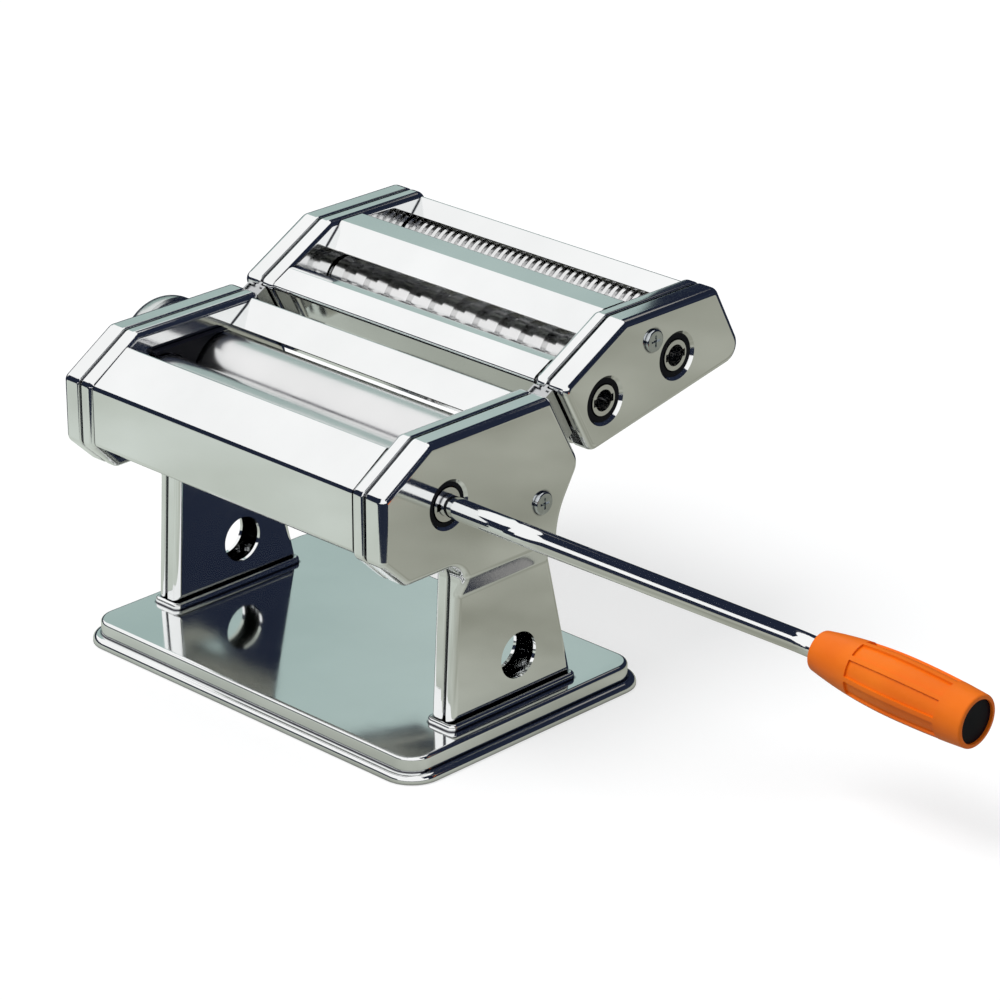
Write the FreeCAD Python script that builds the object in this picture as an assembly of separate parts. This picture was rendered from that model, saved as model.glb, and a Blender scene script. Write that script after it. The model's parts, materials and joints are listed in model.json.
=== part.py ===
"""A hand-cranked pasta roller machine with a lift-off two-width noodle cutter.

Frame: millimetres, +Z up, +X towards the crank, +Y towards the cutter at the back.
The origin is on the table, under the middle of the base.
Outlines of the end frames are lists of (y, z, corner radius).
"""
import FreeCAD
import Part

import math
import os

V = FreeCAD.Vector

# Sheet metal
WALL = 1.5                 # pressed end shells
SHEET = 0.8                # folded covers and guards
BASE_SHEET = 1.2

# Rollers
ROLLER_LENGTH = 150.0
ROLLER_RADIUS = 16.5
ROLLER_END_GAP = 1.0       # roller end to end frame
REST_GAP = 1.4             # nip at the middle setting
FRONT_AXIS_Y = -41.5
AXIS_Z = 112.0
JOURNAL_RADIUS = 7.0
RUNNING_FIT = 0.05         # radial, shaft in bush
BUSH_WALL = 2.0
BUSH_PROUD = 0.4           # bush past the plate towards the roller
BUSH_FLANGE = 1.2
HUB_WALL = 2.0             # gear hub of the rear roller
MOVING_GAP = 0.5           # round anything that turns or shifts
ROLLER_CHAMFER = 0.8
SLEEVE_LENGTH = 16.0

# Thickness setting
SETTING_STEP = 20.0        # degrees between two settings of the knob
SETTINGS = 7
SHIFT = 1.0                # roller travel each way from the middle setting
THROAT_SHAFT_RADIUS = 6.3  # eccentric middle of the setting shaft
SHAFT_END_RADIUS = 5.0
SHANK_SIZE = 7.0           # square end that carries the knob
KNOB_RADIUS = 22.0
KNOB_NECK_RADIUS = 12.0
KNOB_LENGTH = 23.0
KNOB_GAP = 0.5             # knob to dial
KNOB_FIT = 0.15
KNOB_NECK_LENGTH = 6.0
KNOB_FLARE = 3.0
KNOB_LIP = 1.5
KNOB_FACE_RADIUS = 15.0
KNOB_BULGE = 1.8
KNOB_FLOOR = 9.0           # spring well's floor above the neck's foot
WELL_RADIUS = 8.0
STUD_RADIUS = 3.0
SPRING_RADIUS = 5.0
SPRING_WIRE = 0.6
SPRING_TURNS = 4
SPRING_LENGTH = 11.0
SPRING_STEPS = 12          # sections in one turn
SPRING_SIDES = 8
LOCATING_RADIUS = 9.0
LOCATING_PIN_RADIUS = 1.2
LOCATING_PIN_LENGTH = 6.0
LOCATING_FIT = 0.2
DIMPLE_DEPTH = 0.9
DIAL_RADIUS = 17.5
DIAL_THICKNESS = 1.8
DIAL_SPIGOT_RADIUS = 8.0
SPIGOT_PROUD = 2.5
CLIP_THICKNESS = 1.0
CLIP_BITE = 0.8
CLIP_ROOM = 3.0

# End frames of the roller unit
SHELL_DEPTH = 7.5          # inner shell
HEAD_DEPTH = 10.5          # outer cover over the gears
LEG_DEPTH = 5.0            # outer cover over the leg
SHELL_ROUND = 3.0
COVER_ROUND = 3.2
SEAM_GROOVE = 1.6          # width of the groove along the seam, half in each shell
SEAM_DEPTH = 1.6
SEAM_ROUND = 0.9           # lips of the groove
RIM_WALL = 2.6             # rim's depth, groove and metal behind it
FOOT_Z = 13.0
HEAD_TOP_Z = 140.0
HEAD_BOTTOM_Z = 84.0
HEAD_FRONT_Y = -77.0
HEAD_FRONT_TOP_Z = 124.0
HEAD_FRONT_LOW_Z = 96.5
TOP_FRONT_Y = -51.5
TOP_REAR_Y = 16.0
CHIN_Y = -64.0
LEG_FRONT_TOP_Y = -31.2
LEG_FRONT_FOOT_Y = -35.0
LEG_REAR_FOOT_Y = 34.5
WAIST_Y = 18.0
WAIST_Z = 83.0
RAIL_LEAN = 28.0           # degrees, rear rail from upright
RAIL_FOOT_Z = 108.0
STEP_TOP_Z = 78.0          # head face slopes in to the leg face
STEP_LOW_Z = 67.5
STEP_ROUND = 5.0
FOOT_CORNER = 0.6
ARMPIT_CORNER = 10.0       # leg front under the head
HEAD_CORNER = 4.0
BROW_CORNER = 3.5
RAIL_FOOT_CORNER = 8.0
WAIST_CORNER = 36.0
LEAST_CORNER = 0.2
LEG_HOLE_Y = 3.0
LEG_HOLE_Z = 31.0
LEG_HOLE_RADIUS = 10.0
COLLAR_RADIUS = 9.3        # socket holes in the covers
COLLAR_LENGTH = 2.5
MOUTH_LAND = 0.3           # straight part of a dished socket hole

# Covers, scrapers and guides of the roller unit
COVER_INSET = 1.0          # sheet below the edge of the frames
COVER_CURL = 5.0
FACE_BEND = 1.6            # inside bend radii of the folded sheets
BROW_BEND = 2.0
RIM_BEND = 0.6
FLANGE_BEND = 1.0
FRONT_RIM_Y = -56.8
FRONT_LIP_Y = -49.8
HOPPER_FOOT_Z = 130.0
REAR_LIP_Y = 0.0
REAR_RIM_Y = 12.6
REAR_COVER_INSET = 1.8
SCRAPER_GAP = 0.6
SCRAPER_ANGLE = 10.0
SCRAPER_DROOP = 25.0
SCRAPER_BLADE = 14.0
SCRAPER_FLANGE = 5.0
GUIDE_RISE = 2.0
GUIDE_THICKNESS = 3.2
GUIDE_OVERHANG = 2.6       # past each roller's axis
GUIDE_ROUND = 1.0

# Cutter head
RAIL_GAP = 6.0             # roller unit to cutter head, along the rail's normal
RAIL_CLEARANCE = 0.3
CHANNEL_WIDTH = 10.0       # across the end frames' seam
CHANNEL_DEPTH = 5.2
CHANNEL_MOUTH = 3.8
CHANNEL_TOP = 2.6          # down the rail from the head's top
CHANNEL_FOOT = 27.2
TONGUE_SINK = 1.0
CUTTER_TOP_Z = 160.5
CUTTER_BROW_Z = 141.0      # top of the front edge
CUTTER_BROW_END_Y = 58.0
CUTTER_REAR_Y = 113.5
CUTTER_KEEL_Y = 44.8
CUTTER_KEEL_Z = 110.3
KEEL_TILT = 10.9           # degrees, lower edge of the frames
TOE_CORNER = 5.0
CUTTER_BROW_CORNER = 4.0
CUTTER_TOP_CORNER = 5.0
HEEL_CORNER = 8.0
CUTTER_TILT = 10.0         # degrees, line of cutter axes
WIDE_AXIS_Y = 46.6
WIDE_AXIS_Z = 130.0
PAIR_DISTANCE = 19.0
NARROW_OFFSET = 43.0       # wide drive axis to narrow drive axis
CUTTER_RADIUS = 10.0
CUTTER_CORE = 8.2
WIDE_PITCH = 13.0
NARROW_PITCH = 4.0
RING_SIDE_GAP = 0.2
CUTTER_JOURNAL = 5.0
SOCKET_JOURNAL = 6.5
CUTTER_ROD_Y = 74.4
CUTTER_ROD_Z = 148.2
LEDGE_FRONT_Y = 33.5
LEDGE_REAR_Y = 39.0
LEDGE_LIP_Y = 40.8
LEDGE_LIP_Z = 141.0
APRON_FOOT_Z = 120.0
RIDGE_FRONT_Y = 55.0
RIDGE_TOP_FRONT_Y = 64.0
RIDGE_TOP_REAR_Y = 77.0
RIDGE_REAR_Y = 84.0
RIDGE_FOOT_Z = 150.2
RIDGE_SINK = 0.8
REAR_GUARD_FOOT_Y = 106.0
REAR_GUARD_FOOT_Z = 152.2
REAR_APRON_Z = 138.0
COMB_SPINE = 6.2
COMB_BACK = 9.6
COMB_REACH = 3.0
COMB_GAP = 0.3

# Crank
CRANK_ROD_RADIUS = 4.5
SOCKET_CLEARANCE = 0.1
SOCKET_DEPTH = 24.0
CROSS_PIN_RADIUS = 1.5
CROSS_PIN_SLOT = 3.2
CROSS_PIN_DEPTH = 12.0     # pin centre below the socket mouth
CROSS_PIN_HALF = 5.6
SOCKET_SINK = 0.8          # socket mouth below the cover's face
SOCKET_END_GAP = 1.0
CRANK_SHOULDER = 8.0
CRANK_STUB = 40.0          # straight length outside the cover
CRANK_RUN = 71.5           # along X over the arm
CRANK_BACK = 82.0
CRANK_DROP = 49.5
CRANK_BEND = 14.0
PIN_DROOP = 3.0            # degrees, grip's pin below level
GRIP_LENGTH = 77.0
GRIP_BELLY = 42.0          # nose to the widest place
GRIP_NOSE_RADIUS = 8.3
GRIP_RADIUS = 12.5
GRIP_END_RADIUS = 11.0
GRIP_PANELS = 8            # sunk panels between narrow ridges
GRIP_PANEL_DEPTH = 1.0
GRIP_RIDGE = 2.0
GRIP_PIN_RADIUS = 4.0
GRIP_FIT = 0.15
GRIP_GAP = 0.6
GRIP_PIN_ROOM = 7.0        # pin's end to the end plug
GRIP_EDGE_ROUND = 1.0
GRIP_NOSE = 21.0           # plain length before the panels
GRIP_TAIL = 12.0           # plain length after them
GRIP_CAP_RADIUS = 9.2
GRIP_CAP_DEPTH = 5.0
GRIP_CAP_SINK = 1.2

# Base
BASE_SIDE_MARGIN = 11.8    # past the legs' outer faces
BASE_HALF_Y = 69.0
BASE_CORNER = 15.0
BASE_LIP_Z = 4.0
BASE_TOP_Z = 8.4
BASE_STEP = 5.0            # lip's shelf
BASE_TABLE_ROUND = 2.4
BASE_LIP_ROUND = 1.6
PAD_MARGIN = 4.0
PAD_DRAFT = 1.6

# Fasteners and rods
ROD_RADIUS = 4.0
ROD_END_RADIUS = 3.2
SCREW_HEAD_RADIUS = 4.8
SCREW_HEAD_HEIGHT = 1.6
SCREW_RADIUS = 2.0
SCREW_LENGTH = 9.0
CROSS_WIDTH = 1.0          # cross recess in the screw heads
CROSS_LENGTH = 5.0
CROSS_DEPTH = 0.9
BASE_SCREW_HEAD_RADIUS = 3.6
REAR_ROD_BACK = 1.1        # rear rod's axis behind the rear roller's back
REAR_ROD_DROP = 15.0       # and under the roller's axis
FRONT_ROD_Y = -62.0
FRONT_ROD_Z = 93.0
FOOT_SCREW_SPREAD = 22.0

# Gears
GEAR_WIDTH = 7.0
GEAR_PLATE_GAP = 1.6       # inner plate to gear
PRESSURE_ANGLE = 20.0
FLANK_POINTS = 5
ROLLER_TEETH = 17
ROLLER_ADDENDUM = 1.55
ROLLER_DEDENDUM = 2.8
ROLLER_THINNING = 1.0      # backlash that lets the centres close up and rise
CUTTER_TEETH = 13
CUTTER_ADDENDUM = 1.1
CUTTER_DEDENDUM = 1.6
CUTTER_THINNING = 0.16

# Places that follow from the sizes above
INNER_X = ROLLER_LENGTH / 2 + ROLLER_END_GAP
SEAM_X = INNER_X + SHELL_DEPTH
HEAD_X = SEAM_X + HEAD_DEPTH
LEG_X = SEAM_X + LEG_DEPTH
INNER_LIP_X = SEAM_X - SEAM_GROOVE / 2
OUTER_LIP_X = SEAM_X + SEAM_GROOVE / 2
CHANNEL_X = SEAM_X - CHANNEL_WIDTH / 2
BASE_HALF_X = LEG_X + BASE_SIDE_MARGIN
REAR_AXIS_Y = FRONT_AXIS_Y + 2 * ROLLER_RADIUS + REST_GAP
REAR_ROD_Y = REAR_AXIS_Y + ROLLER_RADIUS + REAR_ROD_BACK
REAR_ROD_Z = AXIS_Z - REAR_ROD_DROP
SETTING_TURN = SETTING_STEP * (SETTINGS - 1) / 2
ECCENTRICITY = SHIFT / math.sin(math.radians(SETTING_TURN))
SHAFT_AXIS_Z = AXIS_Z + ECCENTRICITY
LEAN = math.radians(RAIL_LEAN)
RAIL_DOWN = (math.sin(LEAN), -math.cos(LEAN))
RAIL_OUT = (math.cos(LEAN), math.sin(LEAN))
GEAR_X = INNER_X + WALL + GEAR_PLATE_GAP


def rail_y(z, offset=0.0):
    """Y on the leaning rear rail line at height z, moved out along its normal."""
    return TOP_REAR_Y + math.tan(LEAN) * (HEAD_TOP_Z - z) + offset / math.cos(LEAN)


def cutter_axis(along):
    """Centre (y, z) at a distance along the tilted line of cutter axes."""
    tilt = math.radians(CUTTER_TILT)
    return WIDE_AXIS_Y + along * math.cos(tilt), WIDE_AXIS_Z + along * math.sin(tilt)


MAIN_OUTLINE = [
    (LEG_FRONT_FOOT_Y, FOOT_Z, FOOT_CORNER),
    (LEG_FRONT_TOP_Y, HEAD_BOTTOM_Z, ARMPIT_CORNER),
    (CHIN_Y, HEAD_BOTTOM_Z, HEAD_CORNER),
    (HEAD_FRONT_Y, HEAD_FRONT_LOW_Z, HEAD_CORNER),
    (HEAD_FRONT_Y, HEAD_FRONT_TOP_Z, BROW_CORNER),
    (TOP_FRONT_Y, HEAD_TOP_Z, HEAD_CORNER),
    (TOP_REAR_Y, HEAD_TOP_Z, HEAD_CORNER),
    (rail_y(RAIL_FOOT_Z), RAIL_FOOT_Z, RAIL_FOOT_CORNER),
    (WAIST_Y, WAIST_Z, WAIST_CORNER),
    (LEG_REAR_FOOT_Y, FOOT_Z, FOOT_CORNER),
]


def cutter_heel():
    """Rear foot corner, where the rear edge meets the rising keel."""
    rise = math.tan(math.radians(KEEL_TILT))
    lean = math.tan(LEAN)
    reach = CUTTER_TOP_Z - CUTTER_KEEL_Z + rise * CUTTER_KEEL_Y
    y = (CUTTER_REAR_Y + lean * reach) / (1 + lean * rise)
    return y, CUTTER_KEEL_Z + rise * (y - CUTTER_KEEL_Y)


def cutter_toe():
    """Front foot corner, where the rail edge meets the rising keel."""
    rise = math.tan(math.radians(KEEL_TILT))
    lean = math.tan(LEAN)
    start = rail_y(HEAD_TOP_Z, RAIL_GAP)
    reach = HEAD_TOP_Z - CUTTER_KEEL_Z + rise * CUTTER_KEEL_Y
    y = (start + lean * reach) / (1 + lean * rise)
    return y, CUTTER_KEEL_Z + rise * (y - CUTTER_KEEL_Y)


CUTTER_OUTLINE = [
    (*cutter_toe(), TOE_CORNER),
    (rail_y(CUTTER_BROW_Z, RAIL_GAP), CUTTER_BROW_Z, CUTTER_BROW_CORNER),
    (CUTTER_BROW_END_Y, CUTTER_TOP_Z, CUTTER_TOP_CORNER),
    (CUTTER_REAR_Y, CUTTER_TOP_Z, CUTTER_TOP_CORNER),
    (*cutter_heel(), HEEL_CORNER),
]


def signed_area(corners):
    """Twice the signed area of a corner list."""
    total = 0.0
    for (y0, z0, _), (y1, z1, _) in zip(corners, corners[1:] + corners[:1]):
        total += y0 * z1 - y1 * z0
    return total


def unit(dy, dz):
    """Direction of a step, as a unit pair."""
    length = math.hypot(dy, dz)
    return dy / length, dz / length


def inset(corners, depth):
    """The same outline moved inwards by depth, with radii that stay concentric."""
    side = 1.0 if signed_area(corners) > 0 else -1.0
    count = len(corners)
    moved = []
    for i, (y, z, radius) in enumerate(corners):
        a = unit(y - corners[i - 1][0], z - corners[i - 1][1])
        nxt = corners[(i + 1) % count]
        b = unit(nxt[0] - y, nxt[1] - z)
        turn = side * (a[0] * b[1] - a[1] * b[0])
        na = (-side * a[1], side * a[0])
        nb = (-side * b[1], side * b[0])
        scale = depth / (1 + na[0] * nb[0] + na[1] * nb[1])
        new_radius = max(radius - depth, LEAST_CORNER) if turn > 0 else radius + depth
        moved.append((y + scale * (na[0] + nb[0]), z + scale * (na[1] + nb[1]), new_radius))
    return moved


def rounded_wire(corners, place):
    """Closed wire through corners with rounded vertices. place maps (u, v) to a point."""
    count = len(corners)
    runs = []
    for i, (y, z, radius) in enumerate(corners):
        if radius == 0:
            runs.append(((y, z), None, (y, z)))
            continue
        before = corners[i - 1]
        after = corners[(i + 1) % count]
        a = unit(before[0] - y, before[1] - z)
        b = unit(after[0] - y, after[1] - z)
        half = math.acos(max(-1.0, min(1.0, a[0] * b[0] + a[1] * b[1]))) / 2
        reach = radius / math.tan(half)
        mid = unit(a[0] + b[0], a[1] + b[1])
        bow = radius / math.sin(half) - radius
        runs.append((
            (y + a[0] * reach, z + a[1] * reach),
            (y + mid[0] * bow, z + mid[1] * bow),
            (y + b[0] * reach, z + b[1] * reach),
        ))
    edges = []
    for i, (start, middle, end) in enumerate(runs):
        if middle:
            edges.append(Part.Arc(place(*start), place(*middle), place(*end)).toShape())
        following = runs[(i + 1) % count][0]
        if math.dist(end, following) > 1e-6:
            edges.append(Part.LineSegment(place(*end), place(*following)).toShape())
    return Part.Wire(edges)


def prism_x(corners, x0, x1):
    """Rounded (y, z) outline extruded from x0 to x1."""
    wire = rounded_wire(corners, lambda y, z: V(x0, y, z))
    return Part.Face(wire).extrude(V(x1 - x0, 0, 0))


def prism_z(corners, z0, z1):
    """Rounded (x, y) outline extruded from z0 to z1."""
    wire = rounded_wire(corners, lambda x, y: V(x, y, z0))
    return Part.Face(wire).extrude(V(0, 0, z1 - z0))


def rectangle(half_x, half_y, radius, centre=(0.0, 0.0)):
    """Corners of a rounded rectangle."""
    cx, cy = centre
    return [
        (cx - half_x, cy - half_y, radius),
        (cx + half_x, cy - half_y, radius),
        (cx + half_x, cy + half_y, radius),
        (cx - half_x, cy + half_y, radius),
    ]


def bar_x(y, z, radius, x0, x1):
    """Round bar along X."""
    low, high = min(x0, x1), max(x0, x1)
    return Part.makeCylinder(radius, high - low, V(low, y, z), V(1, 0, 0))


def tube_x(y, z, outer, inner, x0, x1):
    """Round sleeve along X."""
    return bar_x(y, z, outer, x0, x1).cut(bar_x(y, z, inner, x0, x1))


def spun_x(profile, y, z):
    """Solid of revolution about an X axis from (x, radius) points closed on the axis."""
    points = [V(profile[0][0], y, z)]
    points += [V(x, y, z + radius) for x, radius in profile]
    points += [V(profile[-1][0], y, z), V(profile[0][0], y, z)]
    face = Part.Face(Part.makePolygon(points))
    return face.revolve(V(0, y, z), V(1, 0, 0), 360)


def mirrored(shape):
    """The same piece for the other side of the machine."""
    return shape.mirror(V(0, 0, 0), V(1, 0, 0))


def outer_rim_edges(shape, least_x):
    """Edges where a wall along X meets a face that looks outwards."""
    chosen = []
    for edge in shape.Edges:
        if edge.BoundBox.XMin < least_x:
            continue
        middle = edge.valueAt((edge.FirstParameter + edge.LastParameter) / 2)
        looks = []
        for face in shape.ancestorsOfType(edge, Part.Face):
            u, v = face.Surface.parameter(middle)
            looks.append(abs(face.normalAt(u, v).x))
        if min(looks) < 0.05 and max(looks) > 0.2:
            chosen.append(edge)
    return chosen


def shell_form(outline, near_x, far_x, rounding):
    """Pressed form that is rounded along the edge at near_x."""
    solid = prism_x(outline, near_x, far_x)
    rim = [e for e in solid.Edges if abs(e.BoundBox.XMax - near_x) < 1e-4]
    return solid.makeFillet(rounding, rim)


def seam_rim(outline, solid, lip_x):
    """Adds the rim from lip_x to the seam: a rounded lip and the floor of the seam's groove."""
    lip = [e for e in solid.Edges if e.BoundBox.XLength < 1e-4 and abs(e.BoundBox.XMin - lip_x) < 1e-4]
    rounded = solid.makeFillet(SEAM_ROUND, lip)
    return rounded.fuse(prism_x(inset(outline, SEAM_DEPTH), min(lip_x, SEAM_X), max(lip_x, SEAM_X)))


def rim_room(outline, x0, x1):
    """The room inside a rim, narrower than the room inside the wall."""
    return prism_x(inset(outline, RIM_WALL), x0, x1)


def inner_shell(outline):
    """Right-hand inner pan, open at the seam."""
    outside = seam_rim(outline, shell_form(outline, INNER_X, INNER_LIP_X, SHELL_ROUND), INNER_LIP_X)
    rim_x = INNER_LIP_X - WALL
    hollow = prism_x(inset(outline, WALL), INNER_X + WALL, rim_x)
    return outside.cut(hollow).cut(rim_room(outline, rim_x, SEAM_X))


def leg_relief(depth):
    """What is pressed in below the head, down to the leg face. depth is taken off the far side."""
    far = HEAD_X + HEAD_DEPTH
    slope = (HEAD_X - LEG_X) / (STEP_TOP_Z - STEP_LOW_Z)
    points = [
        V(LEG_X - depth, -BASE_HALF_X, -BASE_TOP_Z),
        V(LEG_X - depth, -BASE_HALF_X, STEP_LOW_Z),
        V(far, -BASE_HALF_X, STEP_LOW_Z + (far - LEG_X + depth) / slope),
        V(far, -BASE_HALF_X, -BASE_TOP_Z),
    ]
    face = Part.Face(Part.makePolygon(points + points[:1]))
    return face.extrude(V(0, 2 * BASE_HALF_X, 0))


def step_edges(shape):
    """The two edges of the slope between head face and leg face."""
    chosen = []
    for edge in shape.Edges:
        middle = edge.valueAt((edge.FirstParameter + edge.LastParameter) / 2)
        looks = []
        for face in shape.ancestorsOfType(edge, Part.Face):
            u, v = face.Surface.parameter(middle)
            looks.append(abs(face.normalAt(u, v).x))
        if min(looks) > 0.3 and middle.x > SEAM_X + WALL:
            chosen.append(edge)
    return chosen


def cover_form(outline, stepped):
    """Pressed cover form from the groove out to the head face, rounded along its outer rim."""
    solid = prism_x(outline, OUTER_LIP_X, HEAD_X)
    if stepped:
        solid = solid.cut(leg_relief(0.0))
        solid = solid.makeFillet(STEP_ROUND, step_edges(solid))
    return solid.makeFillet(COVER_ROUND, outer_rim_edges(solid, SEAM_X + WALL))


def outer_cover(outline, stepped):
    """Right-hand outer pan, open at the seam."""
    outside = seam_rim(outline, cover_form(outline, stepped), OUTER_LIP_X)
    rim_x = OUTER_LIP_X + WALL
    hollow = prism_x(inset(outline, WALL), rim_x, HEAD_X - WALL)
    if stepped:
        hollow = hollow.cut(leg_relief(WALL))
    return outside.cut(hollow).cut(rim_room(outline, SEAM_X, rim_x))


def folded_sheet(path, thickness, x0, x1):
    """Sheet folded along a (y, z, bend radius) path. The metal lies to the right of the path."""
    near = []
    far = []
    last = len(path) - 1
    for i, (y, z, radius) in enumerate(path):
        a = unit(y - path[i - 1][0], z - path[i - 1][1]) if i > 0 else None
        b = unit(path[i + 1][0] - y, path[i + 1][1] - z) if i < last else None
        na = (a[1], -a[0]) if a else (b[1], -b[0])
        nb = (b[1], -b[0]) if b else na
        scale = thickness / (1 + na[0] * nb[0] + na[1] * nb[1])
        to_right = bool(a and b) and a[0] * b[1] - a[1] * b[0] < 0
        if 0 < i < last:
            near_radius = radius + thickness if to_right else radius
            far_radius = radius if to_right else radius + thickness
        else:
            near_radius = far_radius = 0
        near.append((y, z, near_radius))
        far.append((y + scale * (na[0] + nb[0]), z + scale * (na[1] + nb[1]), far_radius))
    return prism_x(near + far[::-1], x0, x1)


def gear(y, z, pitch_radius, teeth, addendum, dedendum, thinning, bore, x0, turn=0.0):
    """Spur gear about an X axis with involute flanks, GEAR_WIDTH wide from x0 outwards."""
    base = pitch_radius * math.cos(math.radians(PRESSURE_ANGLE))
    tip = pitch_radius + addendum
    root = pitch_radius - dedendum
    start = max(base, root)

    def roll(radius):
        slope = math.acos(min(1.0, base / radius))
        return math.tan(slope) - slope

    half = (math.pi * pitch_radius / teeth - thinning) / (2 * pitch_radius) + roll(pitch_radius)

    def point(radius, angle):
        return V(x0, y + radius * math.cos(angle), z + radius * math.sin(angle))

    radii = [start + (tip - start) * i / (FLANK_POINTS - 1) for i in range(FLANK_POINTS)]
    pitch = 2 * math.pi / teeth
    edges = []
    for k in range(teeth):
        centre = turn + k * pitch
        rise = [point(r, centre - half + roll(r)) for r in radii]
        fall = [point(r, centre + half - roll(r)) for r in reversed(radii)]
        foot_in = point(root, centre - half)
        foot_out = point(root, centre + half)
        next_foot = point(root, centre + pitch - half)
        left = Part.BSplineCurve()
        left.interpolate(rise)
        right = Part.BSplineCurve()
        right.interpolate(fall)
        if (foot_in - rise[0]).Length > 1e-6:
            edges.append(Part.LineSegment(foot_in, rise[0]).toShape())
        edges.append(left.toShape())
        edges.append(Part.Arc(rise[-1], point(tip, centre), fall[0]).toShape())
        edges.append(right.toShape())
        if (foot_out - fall[-1]).Length > 1e-6:
            edges.append(Part.LineSegment(fall[-1], foot_out).toShape())
        edges.append(Part.Arc(foot_out, point(root, centre + pitch / 2), next_foot).toShape())
    blank = Part.Face(Part.Wire(edges)).extrude(V(GEAR_WIDTH, 0, 0))
    return blank.cut(bar_x(y, z, bore, x0, x0 + GEAR_WIDTH))


def crank_socket(y, z, mouth_x):
    """The hollow at a journal's end: a round bore with a cross slot for the crank's pin."""
    bore = bar_x(y, z, CRANK_ROD_RADIUS + SOCKET_CLEARANCE, mouth_x - SOCKET_DEPTH, mouth_x)
    slot_depth = CROSS_PIN_DEPTH + CROSS_PIN_SLOT / 2
    slot_half = CROSS_PIN_HALF + SOCKET_CLEARANCE
    slot = Part.makeBox(
        slot_depth, 2 * slot_half, CROSS_PIN_SLOT,
        V(mouth_x - slot_depth, y - slot_half, z - CROSS_PIN_SLOT / 2))
    return bore.fuse(slot)


def screw_x(y, z, seat_x):
    """Pan-head screw along X with a cross recess, seated at seat_x, its shank pointing inwards."""
    top_x = seat_x + SCREW_HEAD_HEIGHT
    head = bar_x(y, z, SCREW_HEAD_RADIUS, seat_x, top_x)
    crown = [e for e in head.Edges if abs(e.BoundBox.XMin - top_x) < 1e-4]
    head = head.makeFillet(SCREW_HEAD_HEIGHT / 2, crown)
    recess_x = top_x - CROSS_DEPTH
    bars = []
    for width, height in ((CROSS_LENGTH, CROSS_WIDTH), (CROSS_WIDTH, CROSS_LENGTH)):
        bars.append(Part.makeBox(CROSS_DEPTH, width, height, V(recess_x, y - width / 2, z - height / 2)))
    return head.cut(bars).fuse(bar_x(y, z, SCREW_RADIUS, seat_x - SCREW_LENGTH, seat_x))


# Places of the drive parts
SOCKET_MOUTH_X = HEAD_X - SOCKET_SINK
BUSH_OUTER = JOURNAL_RADIUS + RUNNING_FIT + BUSH_WALL
SHAFT_BUSH_OUTER = SHAFT_END_RADIUS + RUNNING_FIT + BUSH_WALL
SLEEVE_INNER = THROAT_SHAFT_RADIUS + RUNNING_FIT
SLEEVE_OUTER = SLEEVE_INNER + BUSH_WALL
HUB_RADIUS = SLEEVE_OUTER + RUNNING_FIT + HUB_WALL
HUB_HOLE_RADIUS = HUB_RADIUS + ECCENTRICITY + MOVING_GAP
GEAR_END_X = GEAR_X + GEAR_WIDTH
PITCH_RADIUS = (REAR_AXIS_Y - FRONT_AXIS_Y) / 2
DIAL_FACE_X = HEAD_X + DIAL_THICKNESS
KNOB_X = DIAL_FACE_X + KNOB_GAP
KNOB_FLOOR_X = KNOB_X + KNOB_FLOOR
CUTTER_BUSH_OUTER = CUTTER_JOURNAL + RUNNING_FIT + BUSH_WALL
SOCKET_BUSH_OUTER = SOCKET_JOURNAL + RUNNING_FIT + BUSH_WALL


def base_plate():
    """Pressed base pan with a low lip, a raised table and a pad under each leg."""
    def form(depth):
        lip = prism_z(rectangle(BASE_HALF_X - depth, BASE_HALF_Y - depth, BASE_CORNER - depth),
                      0, BASE_LIP_Z - depth)
        table_x = BASE_HALF_X - BASE_STEP - depth
        table_y = BASE_HALF_Y - BASE_STEP - depth
        table = prism_z(rectangle(table_x, table_y, BASE_CORNER - BASE_STEP - depth), 0, BASE_TOP_Z - depth)
        if depth == 0:
            table = table.makeFillet(BASE_TABLE_ROUND, flat_edges(table, BASE_TOP_Z))
            lip = lip.makeFillet(BASE_LIP_ROUND, flat_edges(lip, BASE_LIP_Z))
        whole = lip.fuse(table)
        for side in (-1, 1):
            whole = whole.fuse(leg_pad(side, depth))
        return whole

    pan = form(0.0).cut(form(BASE_SHEET))
    holes = [Part.makeCylinder(SCREW_RADIUS, FOOT_Z, V(x, y, 0)) for x, y in foot_screw_places()]
    return pan.cut(holes)


def flat_edges(shape, z):
    """Edges of a shape that lie at height z."""
    return [e for e in shape.Edges if e.BoundBox.ZLength < 1e-4 and abs(e.BoundBox.ZMin - z) < 1e-4]


def leg_pad(side, depth):
    """Raised pad with drafted walls that carries one leg."""
    centre = (side * (INNER_X + LEG_X) / 2, (LEG_FRONT_FOOT_Y + LEG_REAR_FOOT_Y) / 2)
    half_x = (LEG_X - INNER_X) / 2 + PAD_MARGIN - depth
    half_y = (LEG_REAR_FOOT_Y - LEG_FRONT_FOOT_Y) / 2 + PAD_MARGIN - depth
    low = rectangle(half_x, half_y, PAD_MARGIN, centre)
    high = rectangle(half_x - PAD_DRAFT, half_y - PAD_DRAFT, PAD_MARGIN - PAD_DRAFT, centre)
    foot = BASE_TOP_Z - 2 * BASE_SHEET
    wires = [
        rounded_wire(low, lambda x, y: V(x, y, foot)),
        rounded_wire(high, lambda x, y: V(x, y, FOOT_Z - depth)),
    ]
    return Part.makeLoft(wires, True)


def foot_screw_places():
    """(x, y) of the screws that hold the two inner frames down."""
    x = (INNER_X + SHELL_ROUND + INNER_LIP_X - SEAM_ROUND) / 2
    return [(sx * x, sy * FOOT_SCREW_SPREAD) for sx in (-1, 1) for sy in (-1, 1)]


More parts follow.
